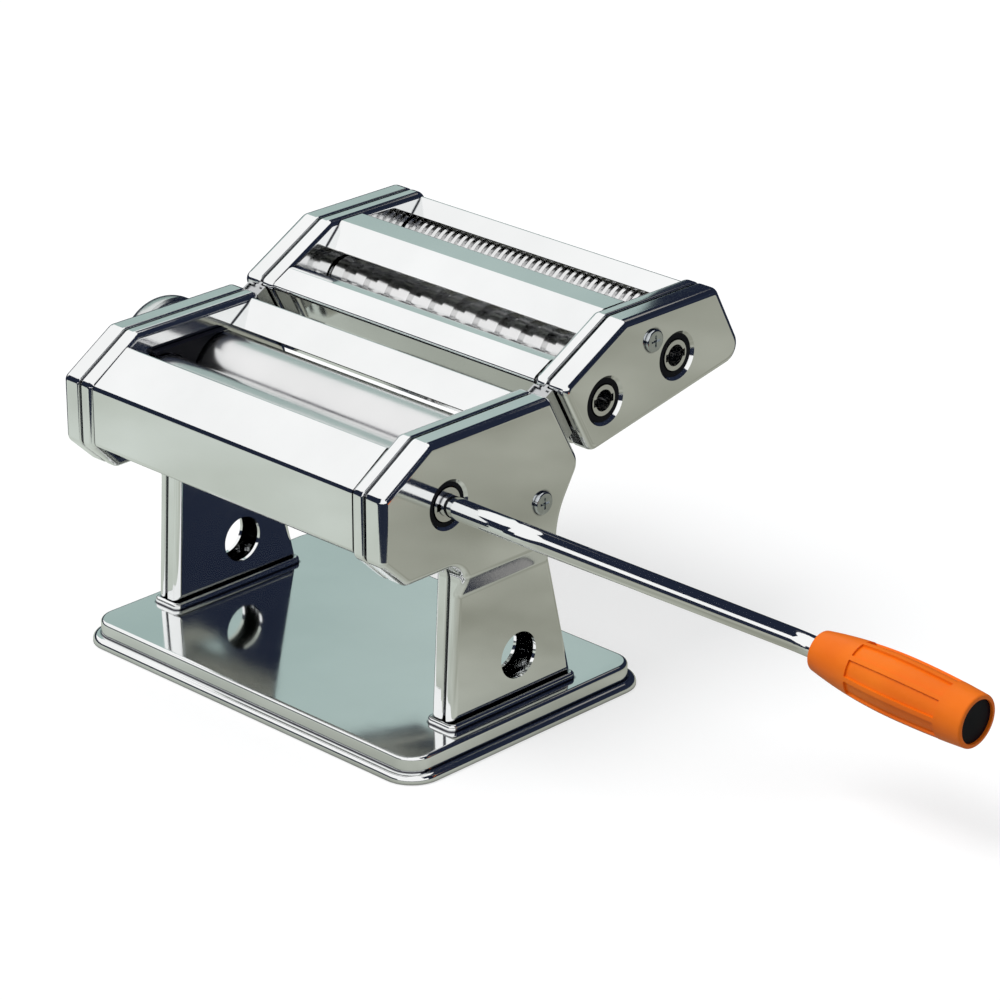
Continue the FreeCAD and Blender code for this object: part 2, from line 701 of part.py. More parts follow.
def base_screws():
    """Screws from under the pads up into the inner frames."""
    seat = FOOT_Z - BASE_SHEET
    low = seat - SCREW_HEAD_HEIGHT
    reach = FOOT_Z + WALL + SCREW_RADIUS
    screws = []
    for x, y in foot_screw_places():
        head = Part.makeCylinder(BASE_SCREW_HEAD_RADIUS, SCREW_HEAD_HEIGHT, V(x, y, low))
        screws.append(head.fuse(Part.makeCylinder(SCREW_RADIUS, reach - seat, V(x, y, seat))))
    return Part.makeCompound(screws)


def through_x(y, z, radius):
    """Cutter for a hole through one whole right-hand end frame."""
    return bar_x(y, z, radius, INNER_X - 1, HEAD_X + 1)


def inner_frame(side):
    """Inner end frame, the plate that carries the bushes and rods."""
    frame = inner_shell(MAIN_OUTLINE)
    rear_hole = SHAFT_BUSH_OUTER if side > 0 else HUB_HOLE_RADIUS
    rear_z = SHAFT_AXIS_Z if side > 0 else AXIS_Z
    holes = [
        through_x(FRONT_AXIS_Y, AXIS_Z, BUSH_OUTER),
        through_x(REAR_AXIS_Y, rear_z, rear_hole),
        through_x(LEG_HOLE_Y, LEG_HOLE_Z, LEG_HOLE_RADIUS),
        through_x(REAR_ROD_Y, REAR_ROD_Z, ROD_END_RADIUS),
        through_x(FRONT_ROD_Y, FRONT_ROD_Z, ROD_END_RADIUS),
    ]
    for x, y in foot_screw_places():
        holes.append(Part.makeCylinder(SCREW_RADIUS, 2 * RIM_WALL, V(abs(x), y, FOOT_Z - WALL / 2)))
    frame = frame.cut(holes)
    return frame if side > 0 else mirrored(frame)


def frame_cover(side):
    """Outer cover of an end frame."""
    cover = outer_cover(MAIN_OUTLINE, True)
    holes = [
        through_x(LEG_HOLE_Y, LEG_HOLE_Z, LEG_HOLE_RADIUS),
        through_x(REAR_ROD_Y, REAR_ROD_Z, SCREW_RADIUS),
    ]
    if side > 0:
        holes.append(through_x(FRONT_AXIS_Y, AXIS_Z, COLLAR_RADIUS))
        holes.append(dished_mouth(FRONT_AXIS_Y, AXIS_Z))
    else:
        holes.append(through_x(REAR_AXIS_Y, SHAFT_AXIS_Z, DIAL_SPIGOT_RADIUS))
    cover = cover.cut(holes)
    return cover if side > 0 else mirrored(cover)


def dished_mouth(y, z):
    """Cone that dishes the rim of a socket hole in a cover."""
    wide = COLLAR_RADIUS + WALL
    return Part.makeCone(COLLAR_RADIUS, wide, WALL, V(HEAD_X - WALL + MOUTH_LAND, y, z), V(1, 0, 0))


def socket_collar(y, z, journal):
    """Ring that lines a socket hole of a cover round a journal."""
    low = HEAD_X - WALL - COLLAR_LENGTH
    sleeve = tube_x(y, z, COLLAR_RADIUS, journal + MOVING_GAP, low, HEAD_X - WALL + MOUTH_LAND)
    flange = tube_x(y, z, COLLAR_RADIUS + WALL, journal + MOVING_GAP, low, HEAD_X - WALL)
    return sleeve.fuse(flange)


def front_cover():
    """Front cover: a face, a sloping brow and a lip down into the hopper."""
    brow = (HEAD_TOP_Z - HEAD_FRONT_TOP_Z) / (TOP_FRONT_Y - HEAD_FRONT_Y)
    rim_z = HEAD_FRONT_TOP_Z + brow * (FRONT_RIM_Y - HEAD_FRONT_Y)
    path = [
        (HEAD_FRONT_Y + COVER_CURL, HEAD_FRONT_LOW_Z, 0),
        (HEAD_FRONT_Y + COVER_INSET, HEAD_FRONT_LOW_Z, FACE_BEND),
        (HEAD_FRONT_Y + COVER_INSET, HEAD_FRONT_TOP_Z - COVER_INSET, BROW_BEND),
        (FRONT_RIM_Y, rim_z - COVER_INSET, RIM_BEND),
        (FRONT_LIP_Y, HOPPER_FOOT_Z, 0),
    ]
    return folded_sheet(path, SHEET, -INNER_X, INNER_X)


def rear_cover():
    """Rear cover: the hopper's back wall, a rim and a face that follows the rail."""
    foot_z = RAIL_FOOT_Z + COVER_CURL
    path = [
        (REAR_LIP_Y, HOPPER_FOOT_Z, 0),
        (REAR_RIM_Y, HEAD_TOP_Z - COVER_INSET, RIM_BEND),
        (rail_y(foot_z, -REAR_COVER_INSET), foot_z, 0),
    ]
    return folded_sheet(path, SHEET, -INNER_X, INNER_X)


def scraper(axis_y, side):
    """Scraper blade under one roller. side is +1 for the rear roller."""
    lean = math.radians(SCRAPER_ANGLE)
    reach = ROLLER_RADIUS + SCRAPER_GAP
    tip = (axis_y - side * reach * math.sin(lean), AXIS_Z - reach * math.cos(lean))
    droop = math.radians(SCRAPER_DROOP)
    knee = (tip[0] + side * SCRAPER_BLADE * math.cos(droop), tip[1] - SCRAPER_BLADE * math.sin(droop))
    path = [(*tip, 0), (*knee, FLANGE_BEND), (knee[0], knee[1] - SCRAPER_FLANGE, 0)]
    if side < 0:
        path.reverse()
    return folded_sheet(path, SHEET, -INNER_X, INNER_X)


def side_guide(side):
    """Dough guide at one end of the hopper, shaped to the two rollers."""
    top = AXIS_Z + ROLLER_RADIUS + GUIDE_RISE
    corners = [
        (FRONT_AXIS_Y - GUIDE_OVERHANG, AXIS_Z, 0),
        (REAR_AXIS_Y + GUIDE_OVERHANG, AXIS_Z, 0),
        (REAR_AXIS_Y + GUIDE_OVERHANG, top, GUIDE_ROUND),
        (FRONT_AXIS_Y - GUIDE_OVERHANG, top, GUIDE_ROUND),
    ]
    plate = prism_x(corners, INNER_X - GUIDE_THICKNESS, INNER_X)
    plate = plate.cut([
        bar_x(FRONT_AXIS_Y, AXIS_Z, ROLLER_RADIUS + MOVING_GAP, INNER_X - GUIDE_THICKNESS, INNER_X),
        bar_x(REAR_AXIS_Y, AXIS_Z, ROLLER_RADIUS + ECCENTRICITY + MOVING_GAP,
              INNER_X - GUIDE_THICKNESS, INNER_X),
    ])
    wedge = max(plate.Solids, key=lambda s: s.CenterOfMass.z)
    return wedge if side > 0 else mirrored(wedge)


def tie_rod(y, z, end_x):
    """Rod across the machine with shouldered ends in the inner frames."""
    middle = bar_x(y, z, ROD_RADIUS, -INNER_X, INNER_X)
    rod = middle.fuse(bar_x(y, z, ROD_END_RADIUS, -end_x, end_x))
    return rod


def rear_tie_rod():
    """Rear rod, long enough to take the cover screws in its tapped ends."""
    end_x = HEAD_X - WALL
    rod = tie_rod(REAR_ROD_Y, REAR_ROD_Z, end_x)
    depth = SCREW_LENGTH
    return rod.cut([
        bar_x(REAR_ROD_Y, REAR_ROD_Z, SCREW_RADIUS, end_x - depth, end_x),
        bar_x(REAR_ROD_Y, REAR_ROD_Z, SCREW_RADIUS, -end_x, depth - end_x),
    ])


def pair(shape):
    """A right-hand piece and its mirror image as one group."""
    return Part.makeCompound([shape, mirrored(shape)])


def flanged_bush(y, z, inner, outer):
    """Bush in a right-hand inner plate, with a flange behind the plate."""
    sleeve = tube_x(y, z, outer, inner, INNER_X - BUSH_PROUD, INNER_X + WALL)
    flange = tube_x(y, z, outer + WALL, inner, INNER_X + WALL, INNER_X + WALL + BUSH_FLANGE)
    return sleeve.fuse(flange)


def roller_bushes():
    """Bushes of the front roller at both ends and of the setting shaft on the right."""
    front = flanged_bush(FRONT_AXIS_Y, AXIS_Z, JOURNAL_RADIUS + RUNNING_FIT, BUSH_OUTER)
    rear = flanged_bush(REAR_AXIS_Y, SHAFT_AXIS_Z, SHAFT_END_RADIUS + RUNNING_FIT, SHAFT_BUSH_OUTER)
    return Part.makeCompound([front, mirrored(front), rear])


def rail_box(s0, s1, n0, n1, x0, x1):
    """Block in rail coordinates: s down the rail from the head's top, n out from it."""
    def at(s, n):
        y = TOP_REAR_Y + s * RAIL_DOWN[0] + n * RAIL_OUT[0]
        z = HEAD_TOP_Z + s * RAIL_DOWN[1] + n * RAIL_OUT[1]
        return V(x0, y, z)

    points = [at(s0, n0), at(s1, n0), at(s1, n1), at(s0, n1), at(s0, n0)]
    return Part.Face(Part.makePolygon(points)).extrude(V(x1 - x0, 0, 0))


def rail_channel(side):
    """Lipped channel on the rear edge of an end frame, open at its top."""
    low, high = CHANNEL_X, CHANNEL_X + CHANNEL_WIDTH
    block = rail_box(CHANNEL_TOP, CHANNEL_FOOT, 0, CHANNEL_DEPTH, low, high)
    floor = CHANNEL_FOOT - SHEET
    room = rail_box(CHANNEL_TOP, floor, SHEET, CHANNEL_DEPTH - SHEET, low + SHEET, high - SHEET)
    middle = (low + high) / 2
    mouth = rail_box(CHANNEL_TOP, floor, SHEET, CHANNEL_DEPTH,
                     middle - CHANNEL_MOUTH / 2, middle + CHANNEL_MOUTH / 2)
    channel = block.cut([room, mouth])
    return channel if side > 0 else mirrored(channel)


def cutter_tongue(side):
    """Tee-shaped tongue that slides in the rail channel, keyed into the cutter frames' seam."""
    low = CHANNEL_X + SHEET + RAIL_CLEARANCE
    high = CHANNEL_X + CHANNEL_WIDTH - SHEET - RAIL_CLEARANCE
    foot = CHANNEL_FOOT - SHEET - RAIL_CLEARANCE
    top = CHANNEL_TOP + TONGUE_SINK
    inner = CHANNEL_DEPTH - SHEET - RAIL_CLEARANCE
    flange = rail_box(top, foot, SHEET + RAIL_CLEARANCE, inner, low, high)
    middle = (low + high) / 2
    half = CHANNEL_MOUTH / 2 - RAIL_CLEARANCE
    web = rail_box(top, foot, inner - SHEET, RAIL_GAP, middle - half, middle + half)
    key = rail_box(top, foot, RAIL_GAP, RAIL_GAP + SEAM_DEPTH, INNER_LIP_X, OUTER_LIP_X)
    tongue = flange.fuse([web, key])
    return tongue if side > 0 else mirrored(tongue)


def front_roller():
    """Driven roller with plain journals. The right one carries the crank socket."""
    half = ROLLER_LENGTH / 2
    body = spun_x(roller_profile(half), FRONT_AXIS_Y, AXIS_Z)
    body = body.fuse(bar_x(FRONT_AXIS_Y, AXIS_Z, JOURNAL_RADIUS, -GEAR_END_X, SOCKET_MOUTH_X))
    return body.cut(crank_socket(FRONT_AXIS_Y, AXIS_Z, SOCKET_MOUTH_X))


def roller_profile(half):
    """Roller barrel with a small chamfer at each end."""
    return [
        (-half, ROLLER_RADIUS - ROLLER_CHAMFER),
        (ROLLER_CHAMFER - half, ROLLER_RADIUS),
        (half - ROLLER_CHAMFER, ROLLER_RADIUS),
        (half, ROLLER_RADIUS - ROLLER_CHAMFER),
    ]


def rear_roller():
    """Hollow roller that runs on sleeves round the setting shaft, with a gear hub on the left."""
    half = ROLLER_LENGTH / 2
    body = spun_x(roller_profile(half), REAR_AXIS_Y, AXIS_Z)
    body = body.fuse(bar_x(REAR_AXIS_Y, AXIS_Z, HUB_RADIUS, -GEAR_END_X, 0))
    return body.cut(bar_x(REAR_AXIS_Y, AXIS_Z, SLEEVE_OUTER + RUNNING_FIT, -GEAR_END_X, half))


def rear_roller_sleeves():
    """The two sleeves between the rear roller and the setting shaft."""
    half = ROLLER_LENGTH / 2
    left = tube_x(REAR_AXIS_Y, AXIS_Z, SLEEVE_OUTER, SLEEVE_INNER, -GEAR_END_X, SLEEVE_LENGTH - half)
    right = tube_x(REAR_AXIS_Y, AXIS_Z, SLEEVE_OUTER, SLEEVE_INNER, half - SLEEVE_LENGTH, half)
    return Part.makeCompound([left, right])


def roller_gear(axis_y, bore):
    """Gear at the left end of a roller."""
    wheel = gear(axis_y, AXIS_Z, PITCH_RADIUS, ROLLER_TEETH, ROLLER_ADDENDUM, ROLLER_DEDENDUM,
                 ROLLER_THINNING, bore, GEAR_X)
    return mirrored(wheel)


def square_x(y, z, size, x0, x1):
    """Square bar along X."""
    return Part.makeBox(x1 - x0, size, size, V(x0, y - size / 2, z - size / 2))


def setting_shaft():
    """Shaft with an eccentric middle, round ends in the bushes and a square end for the knob."""
    y, z = REAR_AXIS_Y, SHAFT_AXIS_Z
    half = ROLLER_LENGTH / 2
    right_end = INNER_X + WALL + BUSH_FLANGE + CLIP_ROOM
    stud_end = KNOB_FLOOR_X + SPRING_LENGTH
    middle = bar_x(y, z - ECCENTRICITY, THROAT_SHAFT_RADIUS, -GEAR_END_X, half)
    ends = bar_x(y, z, SHAFT_END_RADIUS, -DIAL_FACE_X, right_end)
    shank = mirrored(square_x(y, z, SHANK_SIZE, DIAL_FACE_X, KNOB_FLOOR_X))
    stud = bar_x(y, z, STUD_RADIUS, -stud_end, -KNOB_FLOOR_X)
    groove_x = right_end - CLIP_ROOM / 2
    groove = tube_x(y, z, SHAFT_END_RADIUS, SHAFT_END_RADIUS - CLIP_BITE,
                    groove_x - CLIP_THICKNESS / 2, groove_x + CLIP_THICKNESS / 2)
    tapped = bar_x(y, z, SCREW_RADIUS, -stud_end, SCREW_LENGTH - stud_end)
    return middle.fuse([ends, shank, stud]).cut([groove, tapped])


def shaft_clip():
    """Open ring that holds the setting shaft endways in its right bush."""
    y, z = REAR_AXIS_Y, SHAFT_AXIS_Z
    x = INNER_X + WALL + BUSH_FLANGE + CLIP_ROOM / 2
    ring = tube_x(y, z, SHAFT_END_RADIUS + BUSH_WALL, SHAFT_END_RADIUS - CLIP_BITE,
                  x - CLIP_THICKNESS / 2, x + CLIP_THICKNESS / 2)
    mouth = Part.makeBox(CLIP_THICKNESS, SHAFT_END_RADIUS, 2 * SHAFT_END_RADIUS,
                         V(x - CLIP_THICKNESS / 2, y - SHAFT_END_RADIUS / 2, z))
    return ring.cut(mouth)


def setting_angles():
    """Angles of the settings round the dial, counted from upright."""
    return [SETTING_STEP * k - SETTING_TURN for k in range(SETTINGS)]


def on_dial(angle):
    """(y, z) at the locating radius and an angle from upright."""
    turn = math.radians(angle)
    return REAR_AXIS_Y + LOCATING_RADIUS * math.sin(turn), SHAFT_AXIS_Z + LOCATING_RADIUS * math.cos(turn)


def dial_ring():
    """Dial on the left cover with a spigot that is the setting shaft's outer bush."""
    y, z = REAR_AXIS_Y, SHAFT_AXIS_Z
    bore = SHAFT_END_RADIUS + RUNNING_FIT
    spigot = tube_x(y, z, DIAL_SPIGOT_RADIUS, bore, HEAD_X - WALL - SPIGOT_PROUD, HEAD_X)
    plate = tube_x(y, z, DIAL_RADIUS, bore, HEAD_X, DIAL_FACE_X)
    rim = [e for e in plate.Edges
           if abs(e.BoundBox.XMin - DIAL_FACE_X) < 1e-4 and e.BoundBox.ZLength > DIAL_RADIUS]
    plate = plate.makeChamfer(DIAL_THICKNESS / 3, rim)
    dial = spigot.fuse(plate)
    hole = LOCATING_PIN_RADIUS + LOCATING_FIT
    floor_x = DIAL_FACE_X - DIMPLE_DEPTH
    dimples = [bar_x(*on_dial(angle), hole, floor_x, DIAL_FACE_X) for angle in setting_angles()]
    return mirrored(dial.cut(dimples))


def adjuster_knob():
    """Mushroom knob with a square bore, a hole for its locating pin and a spring well."""
    y, z = REAR_AXIS_Y, SHAFT_AXIS_Z
    x0 = KNOB_X
    cap_x = x0 + KNOB_LENGTH
    points = [
        V(x0, y, z),
        V(x0, y, z + KNOB_NECK_RADIUS),
        V(x0 + KNOB_NECK_LENGTH, y, z + KNOB_NECK_RADIUS),
        V(x0 + KNOB_NECK_LENGTH + KNOB_FLARE, y, z + KNOB_RADIUS - KNOB_LIP),
        V(x0 + KNOB_NECK_LENGTH + KNOB_FLARE + KNOB_LIP, y, z + KNOB_RADIUS),
    ]
    crown_start = points[-1]
    crown_end = V(cap_x, y, z + KNOB_FACE_RADIUS)
    bulge = KNOB_BULGE
    crown_middle = (crown_start + crown_end) * 0.5 + V(bulge, 0, bulge)
    edges = [Part.LineSegment(a, b).toShape() for a, b in zip(points, points[1:])]
    edges.append(Part.Arc(crown_start, crown_middle, crown_end).toShape())
    edges.append(Part.LineSegment(crown_end, V(cap_x, y, z)).toShape())
    edges.append(Part.LineSegment(V(cap_x, y, z), points[0]).toShape())
    knob = Part.Face(Part.Wire(edges)).revolve(V(0, y, z), V(1, 0, 0), 360)
    pin_y, pin_z = on_dial(0)
    knob = knob.cut([
        bar_x(y, z, WELL_RADIUS, KNOB_FLOOR_X, cap_x),
        square_x(y, z, SHANK_SIZE + 2 * KNOB_FIT, x0, KNOB_FLOOR_X),
        bar_x(pin_y, pin_z, LOCATING_PIN_RADIUS, x0, x0 + LOCATING_PIN_LENGTH),
    ])
    return mirrored(knob)


def locating_pin():
    """Pin in the knob's neck that drops towards the dial's dimples."""
    pin_y, pin_z = on_dial(0)
    tip = DIAL_FACE_X + LOCATING_FIT
    return mirrored(bar_x(pin_y, pin_z, LOCATING_PIN_RADIUS, tip, KNOB_X + LOCATING_PIN_LENGTH))


def knob_spring():
    """Coil spring in the knob's well, between its floor and the screw's head."""
    steps = SPRING_TURNS * SPRING_STEPS
    rise = (SPRING_LENGTH - 2 * SPRING_WIRE) / steps
    sections = []
    for i in range(steps + 1):
        turn = 2 * math.pi * i / SPRING_STEPS
        out = V(0, math.cos(turn), math.sin(turn))
        centre = V(-KNOB_FLOOR_X - SPRING_WIRE - rise * i, REAR_AXIS_Y, SHAFT_AXIS_Z) + out * SPRING_RADIUS
        corners = []
        for k in range(SPRING_SIDES):
            angle = 2 * math.pi * k / SPRING_SIDES
            corners.append(centre + out * (SPRING_WIRE * math.cos(angle)) + V(SPRING_WIRE * math.sin(angle), 0, 0))
        sections.append(Part.makePolygon(corners + corners[:1]))
    return Part.makeLoft(sections, True, True)


def knob_screw():
    """Screw with a broad head at the shaft's end that keeps the knob and its spring on."""
    y, z = REAR_AXIS_Y, SHAFT_AXIS_Z
    seat = KNOB_FLOOR_X + SPRING_LENGTH
    head = bar_x(y, z, SPRING_RADIUS + 2 * SPRING_WIRE, seat, seat + SCREW_HEAD_HEIGHT)
    return mirrored(head.fuse(bar_x(y, z, SCREW_RADIUS, seat - SCREW_LENGTH, seat)))


def pin_way():
    """Direction of the grip's pin, a little below level."""
    droop = math.radians(PIN_DROOP)
    return V(math.cos(droop), 0, -math.sin(droop))


def crank_elbow():
    """Corner where the crank's arm turns into the grip's pin."""
    return V(HEAD_X + CRANK_STUB + CRANK_RUN, FRONT_AXIS_Y + CRANK_BACK, AXIS_Z - CRANK_DROP)


def on_pin(shape):
    """Moves a piece built along X from the origin on to the grip's pin, from the grip's nose out."""
    shape.rotate(V(0, 0, 0), V(0, 1, 0), PIN_DROOP)
    shape.translate(crank_elbow() + pin_way() * (CRANK_SHOULDER + GRIP_GAP))
    return shape


def crank_path(start_x):
    """Edges of the crank's centre line: stub in the socket, leaning arm, start of the grip's pin."""
    stub = V(1, 0, 0)
    knee = V(HEAD_X + CRANK_STUB, FRONT_AXIS_Y, AXIS_Z)
    elbow = crank_elbow()
    arm = (elbow - knee).normalize()
    edges = []
    at = V(start_x, FRONT_AXIS_Y, AXIS_Z)
    for corner, before, after in ((knee, stub, arm), (elbow, arm, pin_way())):
        turn = before.getAngle(after)
        reach = CRANK_BEND * math.tan(turn / 2)
        bow = CRANK_BEND / math.cos(turn / 2) - CRANK_BEND
        first = corner - before * reach
        last = corner + after * reach
        inside = (after - before).normalize()
        edges.append(Part.LineSegment(at, first).toShape())
        edges.append(Part.Arc(first, corner + inside * bow, last).toShape())
        at = last
    edges.append(Part.LineSegment(at, elbow + pin_way() * CRANK_SHOULDER).toShape())
    return edges


def crank_rod():
    """Bent rod with a cross pin hole near its inner end and a thinner pin for the grip."""
    start_x = SOCKET_MOUTH_X - SOCKET_DEPTH + SOCKET_END_GAP
    ring = Part.makeCircle(CRANK_ROD_RADIUS, V(start_x, FRONT_AXIS_Y, AXIS_Z), V(1, 0, 0))
    rod = Part.Wire(crank_path(start_x)).makePipeShell([Part.Wire(ring)], True, True)
    pin_end = GRIP_LENGTH - GRIP_CAP_DEPTH - GRIP_PIN_ROOM
    pin = on_pin(bar_x(0, 0, GRIP_PIN_RADIUS, -GRIP_GAP, pin_end))
    return rod.fuse(pin).cut(cross_pin())


def cross_pin():
    """Drive pin across the crank's inner end."""
    x = SOCKET_MOUTH_X - CROSS_PIN_DEPTH
    start = V(x, FRONT_AXIS_Y - CROSS_PIN_HALF, AXIS_Z)
    return Part.makeCylinder(CROSS_PIN_RADIUS, 2 * CROSS_PIN_HALF, start, V(0, 1, 0))


def crest_arc(end_x, end_radius, depth):
    """Arc of the grip's crest, level at the belly, falling to a radius at end_x, sunk by depth."""
    run = end_x - GRIP_BELLY
    fall = GRIP_RADIUS - end_radius
    bend = (run * run + fall * fall) / (2 * fall)
    half = math.asin(abs(run) / bend) / 2
    side = math.copysign(1, run)
    top = GRIP_RADIUS - depth
    middle = V(GRIP_BELLY + side * bend * math.sin(half), 0, top - bend + bend * math.cos(half))
    return Part.Arc(V(GRIP_BELLY, 0, top), middle, V(end_x, 0, end_radius - depth)).toShape()


def grip_barrel(depth):
    """The grip's solid barrel, sunk all round by depth."""
    nose = V(0, 0, GRIP_NOSE_RADIUS - depth)
    tail = V(GRIP_LENGTH, 0, GRIP_END_RADIUS - depth)
    outline = [
        Part.LineSegment(V(0, 0, 0), nose).toShape(),
        crest_arc(0, GRIP_NOSE_RADIUS, depth),
        crest_arc(GRIP_LENGTH, GRIP_END_RADIUS, depth),
        Part.LineSegment(tail, V(GRIP_LENGTH, 0, 0)).toShape(),
        Part.LineSegment(V(GRIP_LENGTH, 0, 0), V(0, 0, 0)).toShape(),
    ]
    return Part.Face(Part.Wire(Part.__sortEdges__(outline))).revolve(V(0, 0, 0), V(1, 0, 0), 360)


def grip_panels():
    """What is taken off between the ridges of the grip."""
    length = GRIP_LENGTH - GRIP_TAIL - GRIP_NOSE
    band = bar_x(0, 0, 2 * GRIP_RADIUS, GRIP_NOSE, GRIP_NOSE + length).cut(grip_barrel(GRIP_PANEL_DEPTH))
    ridges = []
    for k in range(GRIP_PANELS):
        ridge = Part.makeBox(length, GRIP_RIDGE, 3 * GRIP_RADIUS, V(GRIP_NOSE, -GRIP_RIDGE / 2, 0))
        ridge.rotate(V(0, 0, 0), V(1, 0, 0), 360 * k / GRIP_PANELS)
        ridges.append(ridge)
    return band.cut(ridges)


def crank_grip():
    """Barrel grip with sunk panels and an open end."""
    grip = grip_barrel(0.0)
    ends = [e for e in grip.Edges if e.BoundBox.XLength < 1e-4
            and min(e.BoundBox.XMin, GRIP_LENGTH - e.BoundBox.XMin) < 1e-4]
    grip = grip.makeFillet(GRIP_EDGE_ROUND, ends)
    return on_pin(grip.cut([
        grip_panels(),
        bar_x(0, 0, GRIP_PIN_RADIUS + GRIP_FIT, 0, GRIP_LENGTH),
        bar_x(0, 0, GRIP_CAP_RADIUS, GRIP_LENGTH - GRIP_CAP_DEPTH, GRIP_LENGTH),
    ]))


def grip_end_cap():
    """Plug in the open end of the grip, set a little below its rim."""
    return on_pin(bar_x(0, 0, GRIP_CAP_RADIUS, GRIP_LENGTH - GRIP_CAP_DEPTH, GRIP_LENGTH - GRIP_CAP_SINK))


def cutter_profile(pitch, first, count):
    """(x, radius) steps of a cutter roller with count rings, the first centred at first."""
    half = ROLLER_LENGTH / 2
    ring_half = pitch / 4 - RING_SIDE_GAP / 2
    steps = [(-half, CUTTER_CORE)]
    for k in range(count):
        x = first + k * pitch
        steps += [
            (x - ring_half, CUTTER_CORE),
            (x - ring_half, CUTTER_RADIUS),
            (x + ring_half, CUTTER_RADIUS),
            (x + ring_half, CUTTER_CORE),
        ]
    return steps + [(half, CUTTER_CORE)]


def ring_count(pitch, centred):
    """Rings that fit on a cutter roller, on centre or half a pitch off it."""
    room = ROLLER_LENGTH / 2 - pitch / 4
    if centred:
        return 2 * int(room / pitch) + 1
    return 2 * int(room / pitch + 0.5)


def cutter_roller(along, pitch, drive):
    """One cutter roller. A drive roller has a crank socket in its right journal."""
    y, z = cutter_axis(along)
    count = ring_count(pitch, drive)
    body = spun_x(cutter_profile(pitch, -(count - 1) * pitch / 2, count), y, z)
    left = bar_x(y, z, CUTTER_JOURNAL, -GEAR_END_X, 0)
    if drive:
        right = bar_x(y, z, SOCKET_JOURNAL, 0, SOCKET_MOUTH_X)
        return body.fuse([left, right]).cut(crank_socket(y, z, SOCKET_MOUTH_X))
    right = bar_x(y, z, CUTTER_JOURNAL, 0, INNER_X + WALL + BUSH_FLANGE)
    return body.fuse([left, right])


def cutter_gear(along):
    """Gear at the left end of a cutter roller, in step along the tilted line."""
    y, z = cutter_axis(along)
    wheel = gear(y, z, PAIR_DISTANCE / 2, CUTTER_TEETH, CUTTER_ADDENDUM, CUTTER_DEDENDUM,
                 CUTTER_THINNING, CUTTER_JOURNAL, GEAR_X, math.radians(CUTTER_TILT))
    return mirrored(wheel)


def comb(along, pitch, drive, side):
    """Comb whose fingers reach under a cutter roller between its rings. side is its spine's side."""
    spine = (COMB_SPINE * side, COMB_BACK * side)
    tip = -COMB_REACH * side
    low, high = min(spine[1], tip), max(spine[1], tip)
    depth = CUTTER_CORE + COMB_GAP
    plate = Part.makeBox(2 * INNER_X, high - low, SHEET, V(-INNER_X, low, -depth - SHEET))
    count = ring_count(pitch, drive)
    slot_half = pitch / 4 - RING_SIDE_GAP / 2 + RING_SIDE_GAP
    slot_low, slot_high = min(spine[0], tip), max(spine[0], tip)
    slots = []
    for k in range(count):
        x = (k - (count - 1) / 2) * pitch
        slots.append(Part.makeBox(2 * slot_half, slot_high - slot_low, SHEET,
                                  V(x - slot_half, slot_low, -depth - SHEET)))
    plate = plate.cut(slots)
    plate.rotate(V(0, 0, 0), V(1, 0, 0), CUTTER_TILT)
    y, z = cutter_axis(along)
    plate.translate(V(0, y, z))
    return plate


def comb_pair(along, pitch):
    """The two combs of one pair of cutter rollers."""
    return Part.makeCompound([
        comb(along, pitch, True, -1),
        comb(along + PAIR_DISTANCE, pitch, False, 1),
    ])


def cutter_frame(side):
    """Inner end frame of the cutter head."""
    holes = [through_x(CUTTER_ROD_Y, CUTTER_ROD_Z, ROD_END_RADIUS)]
    for along in (0, NARROW_OFFSET):
        drive_hole = SOCKET_BUSH_OUTER if side > 0 else CUTTER_BUSH_OUTER
        holes.append(through_x(*cutter_axis(along), drive_hole))
        holes.append(through_x(*cutter_axis(along + PAIR_DISTANCE), CUTTER_BUSH_OUTER))
    frame = inner_shell(CUTTER_OUTLINE).cut(holes)
    return frame if side > 0 else mirrored(frame)


def cutter_cover(side):
    """Outer cover of the cutter head. The right one has the two crank holes."""
    holes = [through_x(CUTTER_ROD_Y, CUTTER_ROD_Z, SCREW_RADIUS)]
    if side > 0:
        for along in (0, NARROW_OFFSET):
            holes.append(through_x(*cutter_axis(along), COLLAR_RADIUS))
            holes.append(dished_mouth(*cutter_axis(along)))
    cover = outer_cover(CUTTER_OUTLINE, False).cut(holes)
    return cover if side > 0 else mirrored(cover)


def cutter_bushes():
    """Bushes of all four cutter rollers in both frames."""
    bushes = []
    for along in (0, NARROW_OFFSET):
        for offset, right_journal in ((0, SOCKET_JOURNAL), (PAIR_DISTANCE, CUTTER_JOURNAL)):
            y, z = cutter_axis(along + offset)
            right = right_journal + RUNNING_FIT
            left = CUTTER_JOURNAL + RUNNING_FIT
            bushes.append(cutter_bush(y, z, right))
            bushes.append(mirrored(cutter_bush(y, z, left)))
    return Part.makeCompound(bushes)


def cutter_bush(y, z, inner):
    """Plain bush in a right-hand cutter frame."""
    return tube_x(y, z, inner + BUSH_WALL, inner, INNER_X, INNER_X + WALL + BUSH_FLANGE)


def cutter_tie_rod():
    """Rod under the ridge that ties the cutter frames and takes the cover screws."""
    end_x = HEAD_X - WALL
    rod = bar_x(CUTTER_ROD_Y, CUTTER_ROD_Z, ROD_END_RADIUS, -end_x, end_x)
    return rod.cut([
        bar_x(CUTTER_ROD_Y, CUTTER_ROD_Z, SCREW_RADIUS, end_x - SCREW_LENGTH, end_x),
        bar_x(CUTTER_ROD_Y, CUTTER_ROD_Z, SCREW_RADIUS, -end_x, SCREW_LENGTH - end_x),
    ])


def brow_z(y):
    """Height of the cutter frames' sloping front edge at y."""
    start = rail_y(CUTTER_BROW_Z, RAIL_GAP)
    rise = (CUTTER_TOP_Z - CUTTER_BROW_Z) / (CUTTER_BROW_END_Y - start)
    return CUTTER_BROW_Z + rise * (y - start)


